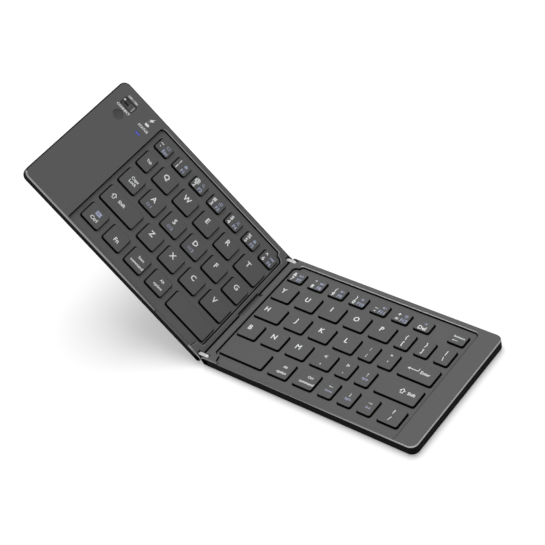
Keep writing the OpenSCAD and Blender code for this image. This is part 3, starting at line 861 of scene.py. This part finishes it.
def build_shell(half):
    """The lower cover, with room for the links, the screws and the charging port."""
    sizes = bpy.context.scene.keyboard_sizes
    wall, skin, start, seam = 1.3, 1.0, 1.4, 0.05
    head, sink = 1.8, 0.55                # of the screws
    shell_round = getattr(sizes, half.side + "_shell_round") / MM
    mesh = bmesh.new()
    cup(mesh, half_outline(half, start), half.low.z, SKIN_Z - seam, wall, skin, shell_round, (0, 0, 0))
    tools = []
    for y0, y1, radius in hinge_slots():
        tools.append(punch(rounded(0, AXIS_X + radius, y0, y1, 0.05, 1), AXIS_Z - radius, 1))
    for low, high in half.solids_of(half.side + "_screws"):
        middle = (low + high) / 2
        tools.append(punch(circle(middle.x, middle.y, head), half.low.z - 1, half.low.z + sink))
    if half is LEFT:
        low, high = half.box_of("charge_port")
        side, under, over, corner = 0.3, 0.2, 0.01, 1.2
        inlet = rounded(low.x - side, high.x + side, low.z - under, high.z + over, corner)
        outside, inside = half.high.y + 1, half.high.y - 2
        tools.append(punch(inlet, -outside, -inside, turned=True))
    add_piece(
        half.side + "_base", cut(mesh, tools), half, half.body, ("Black Base",),
        (half.side + "_shell",)
    )


# ---------------------------------------------------------------------------
# Keys
# ---------------------------------------------------------------------------


def build_caps(half, node):
    """The caps of one node: thin covers with rounded upper edges. Their sides, and the rounded edges along
    their front and their outer end, are painted near-black as shade.
    """
    cap_round = bpy.context.scene.keyboard_sizes.cap_round / MM
    corner, wall, skin = 1.3, 0.9, 1.2
    mesh = bmesh.new()
    for low, high in half.solids_of(node):
        before = len(mesh.faces)
        outline = rounded(low.x, high.x, low.y, high.y, corner)
        cup(mesh, outline, high.z, low.z, wall, skin, cap_round, (0, 1, 1))
        mesh.faces.ensure_lookup_table()
        for face in mesh.faces[before:]:
            middle = face.calc_center_median()
            on_edge = middle.z > high.z - cap_round
            # the back and inner edges take the top's colour; the front and outer edges keep the painted
            # shade
            if on_edge and middle.y > low.y + wall and middle.x < high.x - wall:
                face.material_index = 0
    name = node.replace("_keys", "_caps").replace("_key", "_cap")
    add_piece(name, mesh, half, node, ("Key Top", "Key Side"), (node,))


def build_springs(half, node, label, finish):
    """The domes or scissors under the caps of one node."""
    source = half.side + "_" + label
    mesh = bmesh.new()
    mesh.from_mesh(frame["nodes"][source].data)
    mesh.transform(half.place.inverted())
    caps = half.solids_of(node)
    apart = [
        vertex for vertex in mesh.verts
        if not any(low.x < vertex.co.x < high.x and low.y < vertex.co.y < high.y for low, high in caps)
    ]
    bmesh.ops.delete(mesh, geom=apart, context="VERTS")
    foot, top = (pick(vertex.co.z for vertex in mesh.verts) for pick in (min, max))
    play = 0.02                           # between the springs and the cap
    for vertex in mesh.verts:
        vertex.co.z = foot + (vertex.co.z - foot) * (1 - play / (top - foot))
    name = node.replace("_keys", "_" + label).replace("_key", "_" + label)
    springs = add_piece(name, mesh, half, half.body, (finish,), (source,))
    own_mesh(springs)


# ---------------------------------------------------------------------------
# Legends
# ---------------------------------------------------------------------------

PRINTS = ("White Print", "Blue Print")
WHITE, BLUE = range(2)


class Print:
    """Marks printed on a flat face of one body.

    Places are in mm from middle: along the words, and up toward the number row."""

    def __init__(self, half, level):
        self.half = half
        self.level = level
        self.mesh = bmesh.new()
        self.step = bpy.context.scene.keyboard_sizes.print_step / MM
        self.middle = Vector((0, 0))

    def place_at(self, along, up, turn=0.0):
        """Where a mark goes. On the left half it is mirrored, since that half's own frame is."""
        spot = (self.middle.x + self.half.reading * along, self.middle.y + up, self.level)
        return (
            Matrix.Translation(spot) @ Matrix.Diagonal((self.half.reading, 1, 1, 1))
            @ Matrix.Rotation(math.radians(turn), 4, "Z")
        )

    def take(self, data, place, tint):
        """Adds a mark at its place and drops its own data."""
        before = len(self.mesh.faces)
        data.transform(place)
        self.mesh.from_mesh(data)
        self.mesh.faces.ensure_lookup_table()
        for face in self.mesh.faces[before:]:
            face.material_index = tint
        bpy.data.meshes.remove(data)

    def text(self, words, along, up, size, tint=WHITE, weight=0.022):
        """Words whose middle, at half the height of a capital, lies at that place."""
        curve = bpy.data.curves.new("letters", "FONT")
        curve.body = words
        curve.size = size
        curve.align_x = "CENTER"
        curve.resolution_u = 2
        curve.offset = weight * size
        curve.extrude = self.step / 2
        letters = bpy.data.objects.new("letters", curve)
        data = bpy.data.meshes.new_from_object(letters)
        bpy.data.objects.remove(letters)
        half_capital = 0.36 * size
        drop = Matrix.Translation((0, -half_capital, self.step / 2))
        self.take(data, self.place_at(along, up) @ drop, tint)

    def shape(self, outlines, along, up, size, tint, turn):
        """A flat mark of outlines in units of size. The first is its edge and the others are holes in it."""
        shape = bmesh.new()
        edge, *holes = ([(x * size, y * size) for x, y in points] for points in outlines)
        plate(shape, [sharp(edge)] + [sharp(hole(points)) for points in holes], 0, self.step)
        self.take(data_of("mark", shape), self.place_at(along, up, turn), tint)

    def mark(self, what, along, up, size, tint=WHITE):
        """Words, or a drawing made of parts."""
        if isinstance(what, str):
            self.text(what, along, up, size, tint)
        else:
            for outlines, turn, shift in what:
                self.shape(outlines, along + shift * size, up, size, tint, turn)


def stroke(points, width):
    """A line of even width along the points, as one outline."""
    path = [Vector(p) for p in points]
    left, right = [], []
    for i, here in enumerate(path):
        ahead = path[min(i + 1, len(path) - 1)] - path[max(i - 1, 0)]
        side = Vector((-ahead.y, ahead.x)).normalized() * width / 2
        left.append(tuple(here + side))
        right.append(tuple(here - side))
    return right + left[::-1]


def ring(cx, cy, radius, width):
    """The outlines of a ring: its edge and its hole."""
    return circle(cx, cy, radius, 16), circle(cx, cy, radius - width, 16)


def part(*outlines, turn=0, shift=0.0):
    """A part of a drawing: outlines and shift along in units of its size, and turn in degrees."""
    return outlines, turn, shift


# The drawings on the keys, each a list of parts
PLAY_HEAD = [(-0.9, -0.6), (0.0, 0.0), (-0.9, 0.6)]


def skip(turn):
    """Two arrow heads against a bar."""
    heads = [part([(x + shift, y) for x, y in PLAY_HEAD], turn=turn) for shift in (0.0, 0.8)]
    return heads + [part(bar(0.82, 1.0, -0.6, 0.6), turn=turn)]


def arrow(turn):
    """An arrow, which points along the words' start unless it is turned."""
    shaft = part(stroke([(-0.6, 0), (1.0, 0)], 0.2), turn=turn)
    return [shaft, part([(-1.1, 0), (-0.35, -0.45), (-0.35, 0.45)], turn=turn)]


RAY = stroke([(0.55, 0), (0.95, 0)], 0.16)
SUN = [part(circle(0, 0, 0.36, 16))] + [part(RAY, turn=turn) for turn in range(0, 360, 45)]
SPEAKER = part([(-0.9, -0.28), (-0.55, -0.28), (-0.1, -0.7), (-0.1, 0.7), (-0.55, 0.28), (-0.9, 0.28)])
WAVES = [part(stroke(arc(0, 0, radius, -42, 42, 6), 0.14), shift=0.15) for radius in (0.3, 0.62)]
MUTE = [SPEAKER] + [part(bar(-0.4, 0.4, -0.08, 0.08), turn=turn, shift=0.55) for turn in (45, -45)]
PLAY = [part(PLAY_HEAD)] + [part(bar(x, x + 0.2, -0.6, 0.6)) for x in (0.25, 0.65)]
MAGNIFIER = [part(*ring(-0.15, 0.2, 0.55, 0.16)), part(stroke([(0.25, -0.25), (0.8, -0.8)], 0.2))]
SCREEN = [part(bar(-0.8, 0.8, -0.55, 0.6), bar(-0.62, 0.62, -0.38, 0.43))]
PADLOCK = [part(bar(-0.6, 0.6, -0.75, 0.15)), part(stroke(arc(0, 0.15, 0.38, 0, 180, 8), 0.16))]
COPY = [
    part(bar(at - 0.5, at + 0.5, at - 0.6, at + 0.6), bar(at - 0.34, at + 0.34, at - 0.44, at + 0.44))
    for at in (-0.25, 0.3)
]
HOUSE = [part(
    [(-0.6, -0.7), (0.6, -0.7), (0.6, 0.1), (0.95, 0.1), (0, 0.9), (-0.95, 0.1), (-0.6, 0.1)],
    bar(-0.2, 0.2, -0.6, 0.0)
)]
SCISSORS = [
    piece for way in (1, -1)
    for piece in (
        part(stroke([(-0.5, way * 0.8), (0.35, -way * 0.45)], 0.16)), part(*ring(0.55, way * 0.5, 0.3, 0.13))
    )
]
ENTER = [
    part(stroke([(-0.7, 0), (1.0, 0)], 0.14)), part(bar(0.93, 1.07, 0.0, 0.55)),
    part([(-1.1, 0), (-0.6, -0.28), (-0.6, 0.28)]),
]
BACKSPACE = [part(stroke([(-0.7, 0), (1.1, 0)], 0.18)), part([(-1.2, 0), (-0.55, -0.35), (-0.55, 0.35)])]
SHIFT = [part(
    [(0, 1), (-1.05, 0), (-0.5, 0), (-0.5, -0.85), (0.5, -0.85), (0.5, 0), (1.05, 0)],
    [(0, 0.66), (-0.55, 0.17), (-0.3, 0.17), (-0.3, -0.65), (0.3, -0.65), (0.3, 0.17), (0.55, 0.17)]
)]
CARD = [part(bar(-1.0, 1.0, -0.75, 0.75), bar(-0.7, 0.3, -0.1, 0.15))]
BATTERY = [part(bar(-1.5, 1.3, -0.9, 0.9)), part(bar(1.3, 1.7, -0.4, 0.4))]
BOLT = [part([(0.6, 1.05), (-0.62, -0.2), (-0.1, -0.27), (-0.6, -1.05), (0.62, 0.2), (0.1, 0.27)])]

# node: what its keys say, in their order from the seam outward. Pairs are the upper and the lower sign.
LETTERS = {
    "left_top_keys": "TREWQ",
    "left_home_keys": "GFDSA",
    "left_bottom_keys": "VCXZ",
    "right_top_keys": ("Y", "U", "I", "O", "P", "{[", "}]", "|\\"),
    "right_home_keys": ("H", "J", "K", "L", ":;", "\"'"),
    "right_bottom_keys": ("B", "N", "M", "<,", ">.", "?/"),
}
# node: upper sign, lower sign, word and drawing of each key
NUMBERS = {
    "escape_key": (("~", "`", "Esc", SCREEN),),
    "left_number_keys": (
        ("^", "6", "F6", skip(180)), ("%", "5", "F5", PADLOCK), ("$", "4", "F4", SCISSORS),
        ("#", "3", "F3", COPY), ("@", "2", "F2", MAGNIFIER), ("!", "1", "F1", HOUSE),
    ),
    "right_number_keys": (
        ("&", "7", "F7", PLAY), ("*", "8", "F8", skip(0)), ("(", "9", "F9", MUTE),
        (")", "0", "F10", [SPEAKER] + WAVES[:1]), ("_", "-", "F11", [SPEAKER] + WAVES),
        ("+", "=", "F12", SUN),
    ),
}
DEVICES = {"A": "1", "S": "2", "D": "3"}          # the numbers of the paired devices


def letter_marks(half, width, glyph, size, word):
    """A letter, or a pair of signs. A wide key keeps its letter where a plain key would have it."""
    if len(glyph) == 2:
        return [(glyph[0], -0.9, 3.3, size * 0.8), (glyph[1], -0.6, -1.9, size * 0.8)]
    along, up = (-0.9, 2.5) if half is LEFT else (-2.1, 2.1)
    plain = 14.5
    marks = [(glyph, along - max(width - plain, 0) / 2, up, size)]
    if glyph in DEVICES:
        marks += [(DEVICES[glyph], 0.8, -2.9, word * 1.1, BLUE), (SCREEN, -1.7, -2.9, 1.45, BLUE)]
    return marks


def number_marks(upper, lower, function, icon, size):
    """Two signs on the left, and the use with Fn on the right."""
    return [
        (upper, -2.8, 1.9, size), (lower, -2.8, -1.9, size), (function, 2.3, -1.9, size * 0.86, BLUE),
        (icon, 2.2, 1.9, 1.6, BLUE),
    ]


def two_words(upper, lower, size):
    """A word over another."""
    return [(upper, 1.0, 2.5, size * 0.92), (lower, 1.0, -2.0, size)]


def arrow_marks(turn, word):
    """An arrow over its word."""
    return [(arrow(turn), -0.3, 2.3, 1.35), (word, 0.1, -1.0, 2.1, BLUE)]


def single_marks(word, number):
    """What the keys with a node of their own say, as lists of words or drawing, along, up, size and tint."""
    return {
        "delete_key": [(SUN, 0.4, 1.9, 1.3, BLUE), ("Del", -0.3, -1.7, number)],
        "backspace_key": [("Backspace", 0, 1.6, 1.9), (BACKSPACE, -1.4, -1.6, 1.7)],
        "tab_key": [("Tab", 1.0, 0.9, word)],
        "caps_lock_key": [("Caps", 1.0, 2.2, word * 1.1), ("Lock", 1.0, -0.7, word * 1.1)],
        "left_shift_key": [(SHIFT, -8.1, 1.3, 2.1), ("Shift", -1.2, 1.2, word * 1.15)],
        "right_shift_key": [(SHIFT, 1.6, 1.3, 2.1), ("Shift", 8.0, 1.2, word * 1.15)],
        "left_ctrl_key": [(CARD, 0.7, 2.4, 2.0, BLUE), ("Ctrl", 0.6, -1.9, word * 1.3)],
        "fn_key": [("Fn", 0.8, -0.9, word * 1.5)],
        "start_key": two_words("Start", "command", word),
        "left_alt_key": two_words("Alt", "option", word),
        "right_alt_key": two_words("Alt", "option", word),
        "right_ctrl_key": two_words("Ctrl", "command", word),
        "enter_key": [(ENTER, -4.6, 0.8, 3.6), ("Enter", 4.0, 0.8, word * 1.15)],
        "arrow_up_key": arrow_marks(-90, "PgUp"),
        "arrow_left_key": arrow_marks(0, "Home"),
        "arrow_down_key": arrow_marks(90, "PgDn"),
        "arrow_right_key": arrow_marks(180, "End"),
    }


def marks_of(half, node, index, width):
    """What one key of a node says. The space bars say nothing."""
    sizes = bpy.context.scene.keyboard_sizes
    letter, number, word = sizes.letter_size / MM, sizes.number_size / MM, sizes.word_size / MM
    if node in LETTERS:
        return letter_marks(half, width, LETTERS[node][index], letter, word)
    if node in NUMBERS:
        return number_marks(*NUMBERS[node][index], number)
    return single_marks(word, number)[node]


def print_node(half, node):
    """The legends of one node's keys, as one piece."""
    boxes = half.solids_of(node)
    sheet = Print(half, boxes[0][1].z)
    for index, (low, high) in enumerate(boxes):
        sheet.middle = ((low + high) / 2).xy
        for mark in marks_of(half, node, index, high.x - low.x):
            sheet.mark(*mark)
    name = node.replace("_keys", "_legends").replace("_key", "_legend")
    add_piece(name, sheet.mesh, half, node, PRINTS)


def print_panel():
    """The words and marks beside the controls."""
    sheet = Print(LEFT, 0.0)
    bold = 0.03
    sheet.middle = SWITCH
    sheet.text("OFF / ON", -0.2, 4.9, 1.9, weight=bold)
    sheet.text("CONNECT", -0.5, -4.6, 2.3, weight=bold)
    sheet.middle = LENS
    sheet.text("STATUS", 0, 5.4, 2.4, weight=bold)
    sheet.mark(BATTERY, 0.2, 9.2, 1.0)
    sheet.mark(BOLT, 0.6, 13.9, 2.7)
    add_piece("panel_legends", sheet.mesh, LEFT, "left_half", PRINTS)


# ---------------------------------------------------------------------------
# Hinge and controls
# ---------------------------------------------------------------------------


def stadium(radius):
    """The outline of a link seen along the hinge axes, with points along its straight sides."""
    steps, shares = 20, (0.6, 0.35, -0.35, -0.6)
    top = [(AXIS_X * share, AXIS_Z + radius) for share in shares]
    bottom = [(-AXIS_X * share, AXIS_Z - radius) for share in shares]
    return (
        arc(AXIS_X, AXIS_Z, radius, -90, 90, steps) + top
        + arc(-AXIS_X, AXIS_Z, radius, 90, 270, steps) + bottom
    )


def build_link(side):
    """A bright stamped link with rounded edges, whose flat sides are painted dark as shade, a little clear
    of its slots.
    """
    low, high = RIGHT.box_of(side + "_link")
    play, edge = 0.5, 0.3
    if side == "front":
        low.y += play
    else:
        high.y -= play
    mesh = bmesh.new()
    # the rounded edges are bright metal, and the flat sides take the painted shade
    plate(mesh, [(stadium(LINK_R), edge, edge, 0, 0)], -high.y, -low.y, 1)
    along_hinge(mesh)
    add_piece(
        side + "_hinge_link", mesh, RIGHT, "hinge_link", ("Bright Link", "Dark Link"),
        (side + "_link",)
    )


def build_bridge():
    """The bridge over the cable: a round knuckle at either axis with a low web between them, the web and the
    knuckles' lower parts painted dark as shade.
    """
    low, high = BRIDGE_BOX
    edge, steps = 0.2, 24
    mesh = bmesh.new()
    bend = math.degrees(math.asin(WEB_TOP / BRIDGE_R))
    outline = arc(AXIS_X, AXIS_Z, BRIDGE_R, -90, 180 - bend, steps)
    outline += arc(-AXIS_X, AXIS_Z, BRIDGE_R, bend, 270, steps)
    plate(mesh, [(outline, edge, edge, 0, 0)], -high.y, -low.y)
    along_hinge(mesh)
    # painted shade on the web and on the knuckles up to half their radius over the axes, and a near-black
    # painted shade strip on the knuckle at the left half's axis
    shade, shade_strip, knuckle = (share * BRIDGE_R for share in (0.5, 0.15, 0.8))
    for face in mesh.faces:
        middle = face.calc_center_median()
        on_web = AXIS_X - abs(middle.x) > knuckle
        face.material_index = 1 if middle.z < AXIS_Z + shade or on_web else 0
        if middle.z > AXIS_Z and shade_strip < middle.x + AXIS_X < knuckle:
            face.material_index = 2
    add_piece(
        "cable_cover", mesh, RIGHT, "hinge_link", ("Sprayed Cover", "Bridge Grey", "Key Side"),
        ("cable_bridge",)
    )


def build_ribbon(half, bodies):
    """The flexible cable from the middle of the bridge into a half. It bends at the half's axis."""
    low, high = RIGHT.box_of("flex_cable")
    thickness, reach = 0.2, 1.2           # reach: how far from the axis it bends
    step_x, lap, lap_length = 5.9, 0.1, 2.3
    lap_x = half.box_of(half.side + "_key_plate")[0].x + lap
    lap_z = half.box_of(half.side + "_membrane")[1].z + thickness / 2
    way = 1 if half is RIGHT else -1
    inner = [RIGHT.place @ Vector((way * AXIS_X * share, 0, AXIS_Z)) for share in (0, 0.3, 0.6, 0.75, 0.9)]
    outer = [(AXIS_X + reach * share, AXIS_Z) for share in (0, 0.25, 0.5, 0.75, 1)]
    outer += [(step_x, AXIS_Z), (lap_x, lap_z), (lap_x + lap_length, lap_z)]
    path = inner + [half.place @ Vector((x, 0, z)) for x, z in outer]
    corners = ((-1, low.y), (-1, high.y), (1, high.y), (1, low.y))
    mesh = bmesh.new()
    rings = []
    for i, point in enumerate(path):
        ahead = path[min(i + 1, len(path) - 1)] - path[max(i - 1, 0)]
        aside = Vector((-ahead.z, 0, ahead.x)).normalized() * thickness / 2 * MM
        rings.append([mesh.verts.new(point + aside * side + Vector((0, y * MM, 0))) for side, y in corners])
    for a, b in zip(rings, rings[1:]):
        band(mesh, a, b, 0)
    for end in (rings[0], rings[-1]):
        mesh.faces.new(end)
    bmesh.ops.recalc_face_normals(mesh, faces=mesh.faces)
    ribbon = add_object(half.side + "_cable", mesh, ("Amber Film",))
    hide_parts("flex_cable")
    ends = [
        RIGHT.place @ Vector((way * (AXIS_X - reach), 0, AXIS_Z)),
        half.place @ Vector((AXIS_X + reach, 0, AXIS_Z)),
    ]
    start, end = ends if bodies[0] == "hinge_link" else ends[::-1]
    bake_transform(ribbon)


def build_switch():
    """The slide switch: a black recess with a slot, and a ridged knob whose light tip is a painted
    highlight.
    """
    x = SWITCH_SIZE.x / 2
    low, high = LEFT.box_of("power_slider")
    sink, top, bottom = -0.7, -0.15, -1.1
    rim, hair = 0.6, 0.01
    slot_half, stem_half = 0.45, 0.35     # of their widths
    left, right = SWITCH.x - x, SWITCH.x + x
    edge = rounded_at(SWITCH, SWITCH_SIZE, SWITCH_CORNER)
    slot = rounded(left + 1.5, right - 1.7, SWITCH.y - slot_half, SWITCH.y + slot_half, 0.4)
    off_mark = rounded(right - 1.6, right - 0.2, SWITCH.y + 0.8, SWITCH.y + 2.3, 0.4, 3)
    recess = bmesh.new()
    plate(recess, [sharp(inset(edge, -rim)), sharp(hole(slot))], bottom, sink)
    plate(recess, [sharp(inset(edge, -rim)), sharp(hole(inset(edge, -hair)))], sink - 0.2, top)
    plate(recess, [sharp(off_mark, 1)], sink - 0.05, sink + 0.03, 1)
    add_piece("switch_recess", recess, LEFT, "left_half", ("Recess Black", "White Print"))
    knob = bmesh.new()
    knob_round, ridge_round = 0.15, 0.06
    plate(knob, [(rounded(low.x, high.x, low.y, high.y, 0.6), knob_round, 0, 0, 0)], sink, top - 0.1)
    # the knob's light tip is a painted highlight
    tip, ridges = 1.3, 5
    tip_outline = rounded(low.x + 0.1, low.x + tip, low.y + 0.3, high.y - 0.3, 0.5, 4)
    plate(knob, [(tip_outline, knob_round, 0, 1, 1)], top - 0.15, high.z, 1)
    pitch = (high.x - low.x - 0.3 - tip) / ridges
    for i in range(ridges):
        x0 = low.x + tip + (i + 0.2) * pitch
        ridge = rounded(x0, x0 + pitch * 0.6, low.y + 0.4, high.y - 0.4, 0.1, 2)
        plate(knob, [(ridge, ridge_round, 0, 0, 0)], top - 0.15, high.z)
    stem = rounded(low.x + 1.3, low.x + 3.1, SWITCH.y - stem_half, SWITCH.y + stem_half, 0.2, 2)
    plate(knob, [sharp(stem)], low.z, sink + 0.1)
    add_piece(
        "switch_knob", knob, LEFT, "power_slider", ("Slider Grey", "Slider Tip"), ("power_slider",)
    )


def build_button():
    """The round button, dished, on a wider hidden collar."""
    low, high = LEFT.box_of("connect_button")
    play, bevel, dish = 0.08, 0.05, 0.55
    radius, collar, collar_low, collar_high = BUTTON_HOLE - play, 0.6, -1.8, -1.25
    profile = [
        (1.0, low.z), (1.0, collar_low), (radius + collar, collar_low), (radius + collar, collar_high),
        (radius, collar_high), (radius, high.z - bevel), (radius - bevel, high.z),
    ]
    top = len(profile) - 1
    profile += [(radius * share, high.z - dish * (1 - share ** 2)) for share in (0.92, 0.8, 0.6, 0.4, 0.2)]
    mesh = bmesh.new()
    loops = [loop(mesh, circle(BUTTON.x, BUTTON.y, r), z) for r, z in profile]
    for i, (a, b) in enumerate(zip(loops, loops[1:])):
        band(mesh, a, b, 0, smooth=i >= top)
    for end in (loops[0], loops[-1]):
        mesh.faces.new(end)
    add_piece(
        "pairing_button", mesh, LEFT, "connect_button", ("Button Grey",), ("connect_button",)
    )


# ---------------------------------------------------------------------------
# Finishes of the parts that keep the frame's own shape
# ---------------------------------------------------------------------------

KEPT = {
    "key_plate": "Plated Sheet", "membrane": "Smoke Film",
    "feet": "Foot Rubber", "screws": "Zinc Screw", "magnets": "Nickel", "pins": "Nickel",
    "main_board": "Green Board", "battery": "Foil Pouch",
    "charge_port": "Nickel", "switch_body": "Dark Moulding", "tact_switch": "Plated Sheet",
    "status_lens": "Lit Lens",
}


def dress_kept_parts():
    """Gives the frame's own parts, of either half or of neither, their finishes."""
    for label, finish in KEPT.items():
        for name in (label, "right_" + label, "left_" + label):
            node = frame["nodes"].get(name)
            if node:
                node.data.materials.clear()
                node.data.materials.append(finish_of(finish))


# ---------------------------------------------------------------------------
# Stage
# ---------------------------------------------------------------------------

CAMERA_AT = Vector((0.56576, -0.4936, 0.71467))
CAMERA_TILT = 46.738                      # degrees up from straight down
CAMERA_ROLL = 11.187
CAMERA_TURN = 37.199                      # degrees leftward from facing the number rows
CAMERA_LENS = 107.65
SENSOR = 36.0
LIGHT_FROM = (-0.2, 0.2, 1.0)


def build_camera():
    """A long lens from the right and above."""
    data = bpy.data.cameras.new("Camera")
    data.lens = CAMERA_LENS
    data.sensor_width = SENSOR
    data.sensor_fit = "HORIZONTAL"
    data.clip_start = 0.01
    camera = placed("Camera", data)
    turns = Euler([math.radians(angle) for angle in (CAMERA_TILT, CAMERA_ROLL, CAMERA_TURN)])
    camera.matrix_world = Matrix.Translation(CAMERA_AT) @ turns.to_matrix().to_4x4()
    bpy.context.scene.camera = camera


def seen_directly(tree):
    """A mask that is 1 on rays from the camera, mirror rays and rays through glass."""
    rays = tree.nodes.new("ShaderNodeLightPath").outputs
    seen = math_node(tree, "MAXIMUM", rays["Is Camera Ray"], rays["Is Glossy Ray"])
    return math_node(tree, "MAXIMUM", seen, rays["Is Transmission Ray"])


def build_floor(glow):
    """A wide pale floor just under the feet."""
    size, level = 3.0, -0.00002
    mesh = bmesh.new()
    mesh.faces.new([mesh.verts.new((x * size, y * size, level)) for x, y in bar(-1, 1, -1, 1)])
    data = data_of("Floor", mesh)
    paper = bpy.data.materials.new("White Paper")
    paper.use_nodes = True
    tree = paper.node_tree
    shader = tree.nodes["Principled BSDF"]
    shader.inputs["Base Color"].default_value = (0.92, 0.92, 0.92, 1)
    shader.inputs["Roughness"].default_value = 0.9
    shader.inputs["Specular IOR Level"].default_value = 0.0
    shader.inputs["Emission Color"].default_value = (1, 1, 1, 1)
    strength = math_node(tree, "MULTIPLY", seen_directly(tree), glow)
    tree.links.new(strength, shader.inputs["Emission Strength"])
    data.materials.append(paper)
    placed("Floor", data)


def build_surround(strength):
    """Light from all round, which is seen as plain white."""
    world = bpy.data.worlds.new("Surround")
    bpy.context.scene.world = world
    world.use_nodes = True
    nodes, links = world.node_tree.nodes, world.node_tree.links
    mix = nodes.new("ShaderNodeMixShader")
    links.new(seen_directly(world.node_tree), mix.inputs[0])
    lights = (nodes["Background"], strength), (nodes.new("ShaderNodeBackground"), 1.0)
    for socket, (light, power) in zip(mix.inputs[1:], lights):
        light.inputs["Strength"].default_value = power
        light.inputs["Color"].default_value = (1, 1, 1, 1)
        links.new(light.outputs[0], socket)
    links.new(mix.outputs[0], nodes["World Output"].inputs["Surface"])


def build_overhead(strength, softness):
    """A wide soft light from behind and above."""
    data = bpy.data.lights.new("Overhead", "SUN")
    data.angle = softness
    data.energy = strength
    lamp = placed("Overhead", data)
    lamp.matrix_world = Vector(LIGHT_FROM).to_track_quat("Z", "Y").to_matrix().to_4x4()


# ---------------------------------------------------------------------------
# Operators
# ---------------------------------------------------------------------------


class KEYBOARD_OT_covers(bpy.types.Operator):
    """Build the upper covers with their trays and hinge barrels"""
    bl_idname = "keyboard.covers"
    bl_label = "Build Covers"

    def execute(self, context):
        for half, keys in HALVES:
            build_deck(half, keys)
        return {"FINISHED"}


class KEYBOARD_OT_shells(bpy.types.Operator):
    """Build the lower covers"""
    bl_idname = "keyboard.shells"
    bl_label = "Build Shells"

    def execute(self, context):
        build_shell(RIGHT)
        build_shell(LEFT)
        return {"FINISHED"}


class KEYBOARD_OT_keys(bpy.types.Operator):
    """Build the key caps of both halves"""
    bl_idname = "keyboard.keys"
    bl_label = "Build Keys"

    def execute(self, context):
        for half, keys in HALVES:
            for node in keys:
                build_caps(half, node)
        return {"FINISHED"}


class KEYBOARD_OT_springs(bpy.types.Operator):
    """Build the domes and scissors under the keys"""
    bl_idname = "keyboard.springs"
    bl_label = "Build Springs"

    def execute(self, context):
        for half, keys in HALVES:
            for node in keys:
                for label, finish in (("domes", "Silicone"), ("scissors", "Acetal")):
                    build_springs(half, node, label, finish)
        return {"FINISHED"}


class KEYBOARD_OT_legends(bpy.types.Operator):
    """Print the legends on every key but the space bars, and beside the controls"""
    bl_idname = "keyboard.legends"
    bl_label = "Print Legends"

    def execute(self, context):
        for half, keys in HALVES:
            for node in keys:
                if not node.endswith("_space_key"):
                    print_node(half, node)
        print_panel()
        return {"FINISHED"}


class KEYBOARD_OT_hinge(bpy.types.Operator):
    """Build the two links, the cable bridge and the flexible cable under it"""
    bl_idname = "keyboard.hinge"
    bl_label = "Build Hinge"

    def execute(self, context):
        build_link("front")
        build_link("back")
        build_bridge()
        build_ribbon(RIGHT, ("right_half", "hinge_link"))
        build_ribbon(LEFT, ("hinge_link", "left_half"))
        return {"FINISHED"}


class KEYBOARD_OT_controls(bpy.types.Operator):
    """Build the slide switch and the round button"""
    bl_idname = "keyboard.controls"
    bl_label = "Build Controls"

    def execute(self, context):
        build_switch()
        build_button()
        return {"FINISHED"}


class KEYBOARD_OT_kept_parts(bpy.types.Operator):
    """Give the parts that keep the frame's shape their finishes"""
    bl_idname = "keyboard.kept_parts"
    bl_label = "Finish Inner Parts"

    def execute(self, context):
        dress_kept_parts()
        return {"FINISHED"}


class KEYBOARD_OT_stage(bpy.types.Operator):
    """Build the floor, the lights and the camera"""
    bl_idname = "keyboard.stage"
    bl_label = "Build Stage"

    def execute(self, context):
        studio = context.scene.keyboard_studio
        context.scene.view_settings.view_transform = "Standard"
        build_camera()
        build_floor(studio.floor_glow)
        build_surround(studio.surround)
        build_overhead(studio.overhead, studio.softness)
        return {"FINISHED"}


class KEYBOARD_PT_panel(bpy.types.Panel):
    """Lists the steps and their sizes"""
    bl_idname = "KEYBOARD_PT_panel"
    bl_label = "Folding Keyboard"
    bl_space_type = "VIEW_3D"
    bl_region_type = "UI"
    bl_category = "Keyboard"

    def draw(self, context):
        for step in STEPS:
            self.layout.operator(step.bl_idname)
        for group in ("keyboard_sizes", "keyboard_colours", "keyboard_studio"):
            settings = getattr(context.scene, group)
            for name in settings.bl_rna.properties.keys():
                if name not in ("rna_type", "name"):
                    self.layout.prop(settings, name)


STEPS = (
    KEYBOARD_OT_covers, KEYBOARD_OT_shells, KEYBOARD_OT_keys, KEYBOARD_OT_springs, KEYBOARD_OT_legends,
    KEYBOARD_OT_hinge, KEYBOARD_OT_controls, KEYBOARD_OT_kept_parts, KEYBOARD_OT_stage,
)
GROUPS = {
    "keyboard_sizes": KeyboardSizes, "keyboard_colours": KeyboardColours, "keyboard_studio": KeyboardStudio,
}


def register():
    for kind in (*GROUPS.values(), *STEPS, KEYBOARD_PT_panel):
        bpy.utils.register_class(kind)
    for name, kind in GROUPS.items():
        setattr(bpy.types.Scene, name, bpy.props.PointerProperty(type=kind))


def unregister():
    for name in GROUPS:
        delattr(bpy.types.Scene, name)
    for kind in reversed((*GROUPS.values(), *STEPS, KEYBOARD_PT_panel)):
        bpy.utils.unregister_class(kind)


def main():
    register()
    bpy.ops.keyboard.covers()
    bpy.ops.keyboard.shells()
    bpy.ops.keyboard.keys()
    bpy.ops.keyboard.springs()
    bpy.ops.keyboard.legends()
    bpy.ops.keyboard.hinge()
    bpy.ops.keyboard.controls()
    bpy.ops.keyboard.kept_parts()
    bpy.ops.keyboard.stage()


if __name__ == "__main__":
    main()
